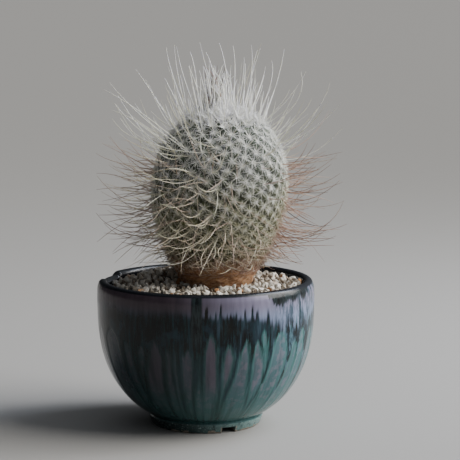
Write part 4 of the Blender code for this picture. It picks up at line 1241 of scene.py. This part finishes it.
def add_central(root, aim_to, sweep, curl, thick, age):
    """Add a central spine, with as much of its length as keeps it in the room it has."""
    share, low = 1.0, ROOM_LOW.copy()
    low.z = min(low.z, root.z - 2 * MM)
    for _ in range(TRIES):
        spots = [root + (aim_to * t + sweep * t ** 2 + curl * t ** 3) * share for t in (0.5, 0.8, 1.0)]
        if all(low[i] <= spot[i] <= ROOM_HIGH[i] for i in range(3) for spot in spots):
            break
        share *= SHORTENED
    centrals.append((root, aim_to * share, sweep * share, curl * share, thick, age))


print("their room is", [round(side / MM) for side in ROOM_HIGH - ROOM_LOW], "mm")

# %% The rules of the four zones
# Each rule gives a length (mm), a way to point, a sweep, a curl and an age.


def crown_spine(chance, outward, crownward, sideways, upper):
    length = chance.triangular(12, 33, 20) if upper else chance.uniform(6, 17)
    toward = (outward + sideways * chance.gauss(0, 0.14)).lerp(UP, chance.uniform(0.25, 0.8))
    sweep = outward * chance.gauss(-0.05, 0.18) + sideways * chance.gauss(0, 0.18)
    return length, toward, sweep, -sweep * chance.uniform(0.3, 1.3), 0.06


def shoulder_spine(chance, outward, crownward, sideways, upper):
    length = chance.triangular(15, 44, 28) if upper else chance.uniform(7, 20)
    toward = outward + crownward * chance.uniform(-0.35, 0.35) + sideways * chance.gauss(0, 0.25)
    sweep = UP * chance.uniform(0.25, 0.8) + sideways * chance.gauss(0, 0.12)
    return length, toward, sweep, sideways * chance.gauss(0, 0.12), 0.27


def flank_spine(chance, outward, crownward, sideways, upper):
    length = chance.triangular(16, 41, 30) if upper else chance.triangular(6, 30, 15)
    toward = outward + crownward * chance.gauss(-0.12, 0.3) + sideways * chance.gauss(0, 0.4)
    sweep = UP * chance.triangular(-0.15, 0.7, 0.3) + sideways * chance.gauss(0, 0.16)
    return length, toward, sweep, UP * chance.gauss(0, 0.12), 0.7


def waist_spine(chance, outward, crownward, sideways, upper):
    side = sideways if chance.random() < 0.5 else -sideways
    length = chance.triangular(8, 26, 15)
    toward = outward * chance.uniform(0.4, 0.9) + side * chance.uniform(0.2, 1.3)
    toward += crownward * chance.gauss(0.05, 0.25)
    sweep = side * chance.uniform(-0.2, 0.4) - outward * chance.uniform(0, 0.5)
    sweep -= UP * chance.uniform(-0.1, 0.25)
    return length, toward, sweep, UP * chance.gauss(0.08, 0.12), 0.5


def back_over_body(chance, outward, crownward, sideways, upper):
    """On the shaded side many spines curl back over the body, most to the left."""
    length = chance.triangular(12, 42, 24)
    turn = chance.gauss(0.15, 0.9)
    along_skin = SHADED_SIDE * math.cos(turn) + UP * math.sin(turn)
    across = UP * math.cos(turn) - SHADED_SIDE * math.sin(turn)
    toward = outward * chance.uniform(0.3, 0.9) + along_skin * chance.uniform(0.4, 1.0)
    sweep = across * chance.gauss(0, 0.3) - outward * chance.uniform(0.1, 0.55)
    return length, toward, sweep, across * chance.gauss(0, 0.3), 0.56


# %% Central spines that stand out in the photograph
# Root, middle and tip of each, in millimetres, and its age: the crown's from left to
# right, the shoulders', the flanks' and the three pale curls over the shaded side.
PLACED = [
    (-22, 0, 173, -27, -6, 194, -30, -6, 208, 0.05),
    (-19, 0, 173, -24, 4, 192, -26, 6, 209, 0.05),
    (-14, 0, 176, -21, 10, 191, -25, 12, 208, 0.05),
    (-13, 0, 175, -14, -12, 192, -17, -14, 206, 0.05),
    (-3, 0, 176, -8, -4, 195, -12, -4, 211, 0.04),
    (-2, 0, 180, -5, 8, 194, -9, 8, 205, 0.04),
    (4, 0, 176, 2, 2, 197, -2, 4, 213, 0.04),
    (5, 0, 175, 7, -8, 193, 6, -8, 209, 0.04),
    (10, 0, 175, 11, -14, 190, 12, -16, 203, 0.04),
    (12, 0, 176, 16, 6, 193, 16, 8, 209, 0.04),
    (13, 0, 175, 16, -4, 192, 21, -6, 208, 0.05),
    (14, 0, 175, 16, -16, 193, 19, -18, 207, 0.05),
    (18, 0, 175, 21, 10, 186, 24, 12, 197, 0.08),
    (22, 0, 173, 26, -6, 187, 27, -8, 201, 0.08),
    (24, 0, 171, 30, 2, 189, 34, 2, 207, 0.08),
    (-9, 0, 177, -10, -14, 188, -12, -16, 196, 0.03),
    (-7, 0, 178, -7, -10, 188, -10, -10, 198, 0.03),
    (-5, 0, 177, -3, 0, 188, -4, 0, 198, 0.03),
    (-1, 0, 178, -2, -6, 189, 1, -6, 199, 0.03),
    (2, 0, 177, 0, -12, 189, -5, -12, 195, 0.03),
    (-4, 0, 176, 0, -16, 187, 5, -18, 194, 0.03),
    (0, 0, 176, -3, -18, 185, -10, -20, 189, 0.03),
    (8, 0, 176, 5, 4, 187, 5, 4, 198, 0.03),
    (-17, -27, 154, -40, -28, 170, -60, -23, 190, 0.26),
    (-21, -24, 155, -43, -25, 174, -63, -20, 186, 0.28),
    (-11, -30, 154, -37, -31, 158, -54, -25, 171, 0.3),
    (-23, -23, 153, -42, -24, 167, -59, -19, 175, 0.3),
    (-29, 0, 168, -38, -1, 183, -47, 0, 196, 0.2),
    (-27, 0, 167, -35, -1, 178, -40, 0, 188, 0.22),
    (-17, -29, 151, -38, -30, 154, -55, -24, 163, 0.35),
    (-34, 0, 154, -49, -1, 159, -60, 0, 169, 0.36),
    (25, 0, 169, 36, -1, 180, 46, 0, 195, 0.22),
    (27, 0, 166, 41, -1, 179, 43, 0, 195, 0.24),
    (38, 0, 156, 51, -1, 173, 59, 0, 189, 0.3),
    (27, 0, 168, 32, -1, 177, 37, 0, 185, 0.25),
    (30, 0, 166, 36, -1, 176, 40, 0, 185, 0.25),
    (34, 0, 162, 43, -1, 171, 49, 0, 180, 0.3),
    (-42, 0, 138, -52, -1, 142, -58, 0, 146, 0.75),
    (-41, 0, 131, -55, -1, 137, -69, 0, 139, 0.8),
    (-41, 0, 131, -55, -1, 131, -69, 0, 130, 0.75),
    (-35, 0, 99, -57, -1, 107, -72, 0, 118, 0.8),
    (-33, 0, 96, -45, -1, 99, -56, 0, 101, 0.85),
    (-22, -20, 96, -39, -21, 97, -49, -17, 89, 0.45),
    (-40, 0, 115, -52, -1, 117, -62, 0, 121, 0.65),
    (-39, 0, 109, -52, -1, 106, -65, 0, 106, 0.75),
    (-45, 0, 140, -57, -1, 145, -69, 0, 150, 0.7),
    (-16, -29, 108, -25, -31, 111, -33, -25, 120, 0.36),
    (-15, -30, 108, -14, -31, 114, -15, -25, 120, 0.3),
    (-13, -28, 101, -10, -29, 105, -7, -24, 110, 0.35),
    (36, 0, 135, 43, -1, 138, 50, 0, 140, 0.85),
    (34, -9, 131, 49, -10, 130, 66, -7, 135, 0.85),
    (32, 0, 105, 53, -1, 107, 69, 0, 111, 0.9),
    (32, 0, 104, 47, -1, 103, 62, 0, 103, 0.9),
    (29, 0, 97, 45, -1, 99, 62, 0, 99, 0.85),
    (34, 0, 108, 54, -1, 109, 67, 0, 124, 0.75),
    (37, 0, 119, 48, -1, 121, 54, 0, 128, 0.7),
    (-12, -33, 118, -17, -51, 121, -21, -71, 127, 0.5),
]
print(len(PLACED), "spines are placed one by one")

# %% The placed spines, the tuft and the dead nest
CROWN_THICK, OTHER_THICK, CROWN_AGE = 0.3 * MM, 0.21 * MM, 0.1
tips = [tubercle_tip(arc, azimuth)[0] for arc, azimuth in areoles]
for *numbers, age in PLACED:
    root, middle, tip = (Vector(numbers[i:i + 3]) * MM for i in (0, 3, 6))
    root = min(tips, key=lambda spot: (spot - root).length)
    sweep = (root + tip) * 2 - middle * 4
    add_central(root, tip - root - sweep, sweep, NO_CURL,
                CROWN_THICK if age < CROWN_AGE else OTHER_THICK, age)
# The youngest spines cross each other in a matted tuft in the middle of the crown.
TUFT, TUFT_SPINES, DEAD_SPINES = Vector((-3, 0, 172)), 52, 170


def add_matted_spine(rise, ages):
    root = TUFT + Vector((spine_rng.gauss(0, 3.8), spine_rng.gauss(0, 3.8), 0))
    tip = TUFT + Vector((spine_rng.gauss(0, 4.0), spine_rng.gauss(0, 2.8), spine_rng.triangular(*rise)))
    sweep = Vector((spine_rng.gauss(0, 7), spine_rng.gauss(0, 7), 0))
    curl = -sweep * spine_rng.uniform(0.6, 1.5)
    centrals.append((root * MM, (tip - root - sweep - curl) * MM, sweep * MM, curl * MM,
                     spine_rng.uniform(0.2, 0.26) * MM, spine_rng.choice(ages)))


for _ in range(TUFT_SPINES):
    add_matted_spine((10, 28, 20), (0.04, 0.08, 0.15, 0.2, 0.9))
# Dead brown ones lie round the waist like a nest.
for _ in range(DEAD_SPINES):
    arc = float(np.interp(spine_rng.uniform(84, 93) * MM, heights, arcs))
    spot, outward, crownward, sideways = skin_frame(arc, spine_rng.uniform(0, math.tau))
    way = sideways * spine_rng.choice((-1, 1)) + crownward * spine_rng.gauss(0.1, 0.45)
    length = spine_rng.uniform(5, 15) * MM
    follow = -outward * length ** 2 / (2 * WAIST_R) * spine_rng.uniform(0.3, 1.0)
    curl = crownward * length * spine_rng.gauss(0, 0.15)
    centrals.append((spot + outward * 0.4 * MM, way.normalized() * length, follow, curl,
                     0.14 * MM, spine_rng.uniform(0.68, 0.93)))
print("with the tuft and the nest", len(centrals))

# %% The twins of every areole
THICKER = {crown_spine: 1.5, waist_spine: 0.74, back_over_body: 0.74}
CROWN_FROM, SHOULDER_FROM, FLANK_FROM, WAIST_FROM = 165 * MM, 146 * MM, 102 * MM, 92 * MM
BENT_BACK_FROM, BENT_BACK_TO = 106 * MM, 158 * MM
for arc, azimuth in areoles:
    tip_spot, outward, crownward, sideways = tubercle_tip(arc, azimuth)
    z = tip_spot.z + spine_rng.gauss(0, 2.5 * MM)
    bearing = bearing_of(azimuth)
    shaded, lit = plateau(-1.5, -1.1, -0.1, 0.35, bearing), plateau(0.0, 0.3, 1.0, 1.25, bearing)
    lower_right = 1.0 < bearing < 2.3 and z > WAIST_FROM
    if z > CROWN_FROM:
        rule, keep = crown_spine, 0.38
    elif z > SHOULDER_FROM:
        rule, keep = shoulder_spine, 0.5 - 0.35 * lit
    elif z > FLANK_FROM:
        rule, keep = flank_spine, 0.85 - 0.7 * lit
    else:
        rule, keep = (flank_spine if lower_right else waist_spine), 0.8
    for upper in (True, False):
        used = rule
        if upper and BENT_BACK_FROM < z < BENT_BACK_TO and spine_rng.random() < 0.5 * shaded:
            used = back_over_body
        elif spine_rng.random() > (keep if upper else 0.85 - 0.5 * lit):
            continue
        length, toward, sweep, curl, age = used(spine_rng, outward, crownward, sideways, upper)
        sweep, curl = sweep * length * MM, curl * length * MM
        aim_to = toward.normalized() * length * MM - sweep * 0.4 - curl * 0.3
        # On the shaded side the flank spines get a paler, younger colour: painted light against the shade
        # there.
        age += 0.16 * right_flank(azimuth, z) - 0.22 * shaded * (used is flank_spine)
        age = clamp(age + spine_rng.uniform(-0.15, 0.17) * (1 - 0.8 * (used is crown_spine)))
        thick = spine_rng.uniform(0.16, 0.21) * MM * THICKER.get(used, 1.0)
        add_central(tip_spot, aim_to, sweep, curl, thick, age)
# A few more in the tuft, among them dark brown ones, which read as its gaps.
for _ in range(TUFT_SPINES):
    add_matted_spine((8, 28, 17), (0.02, 0.05, 0.1, 1.0))
central_piece = grow_spines("central_spines", centrals, 10, 4, horn)
print(len(centrals), "central spines")

# %% [markdown]
# Between the young areoles the crown is packed with white wool and unfolding spines,
# and every areole keeps a small woolly cushion. The wool is fine curled hair, too thin
# for single hairs to show at this size, so short bent tufts stand for it.

# %% Areole wool
wool = []
for arc, azimuth in areoles:
    spot, outward, crownward, sideways = skin_frame(arc, azimuth)
    crown, upper = crown_share(spot, 158, 168), crown_share(spot, 108, 130)
    for _ in range(int(3 + 2 * upper + 34 * crown)):
        scatter = sideways * spine_rng.gauss(0, 1) + crownward * spine_rng.gauss(0, 1)
        root = spot + scatter * (0.4 + 1.2 * crown) * MM
        root += outward * TUBERCLE_RISE * (0.92 - 0.35 * crown) * skin_grown(spot.z)
        length = (0.9 + 0.4 * upper + 3.2 * crown) * MM * spine_rng.uniform(0.6, 1.2)
        lean = sideways * spine_rng.gauss(0, 0.5) + crownward * spine_rng.gauss(0, 0.5)
        bend = (sideways * spine_rng.gauss(0, 1) + crownward * spine_rng.gauss(0, 1)) * length * 0.3
        age = 0.02 + 0.4 * (1 - smoothstep(95 * MM, 130 * MM, spot.z))
        wool.append((root, (outward + lean).normalized() * length, bend, NO_CURL,
                     (0.17 + 0.05 * upper) * MM, age))
wool_piece = grow_spines("areole_wool", wool, 3, 3, horn, tip_share=0.5)
print(len(wool), "tufts")
for piece in (stem, radial_piece, central_piece, wool_piece):
    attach(piece, "root")
    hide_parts("cactus")
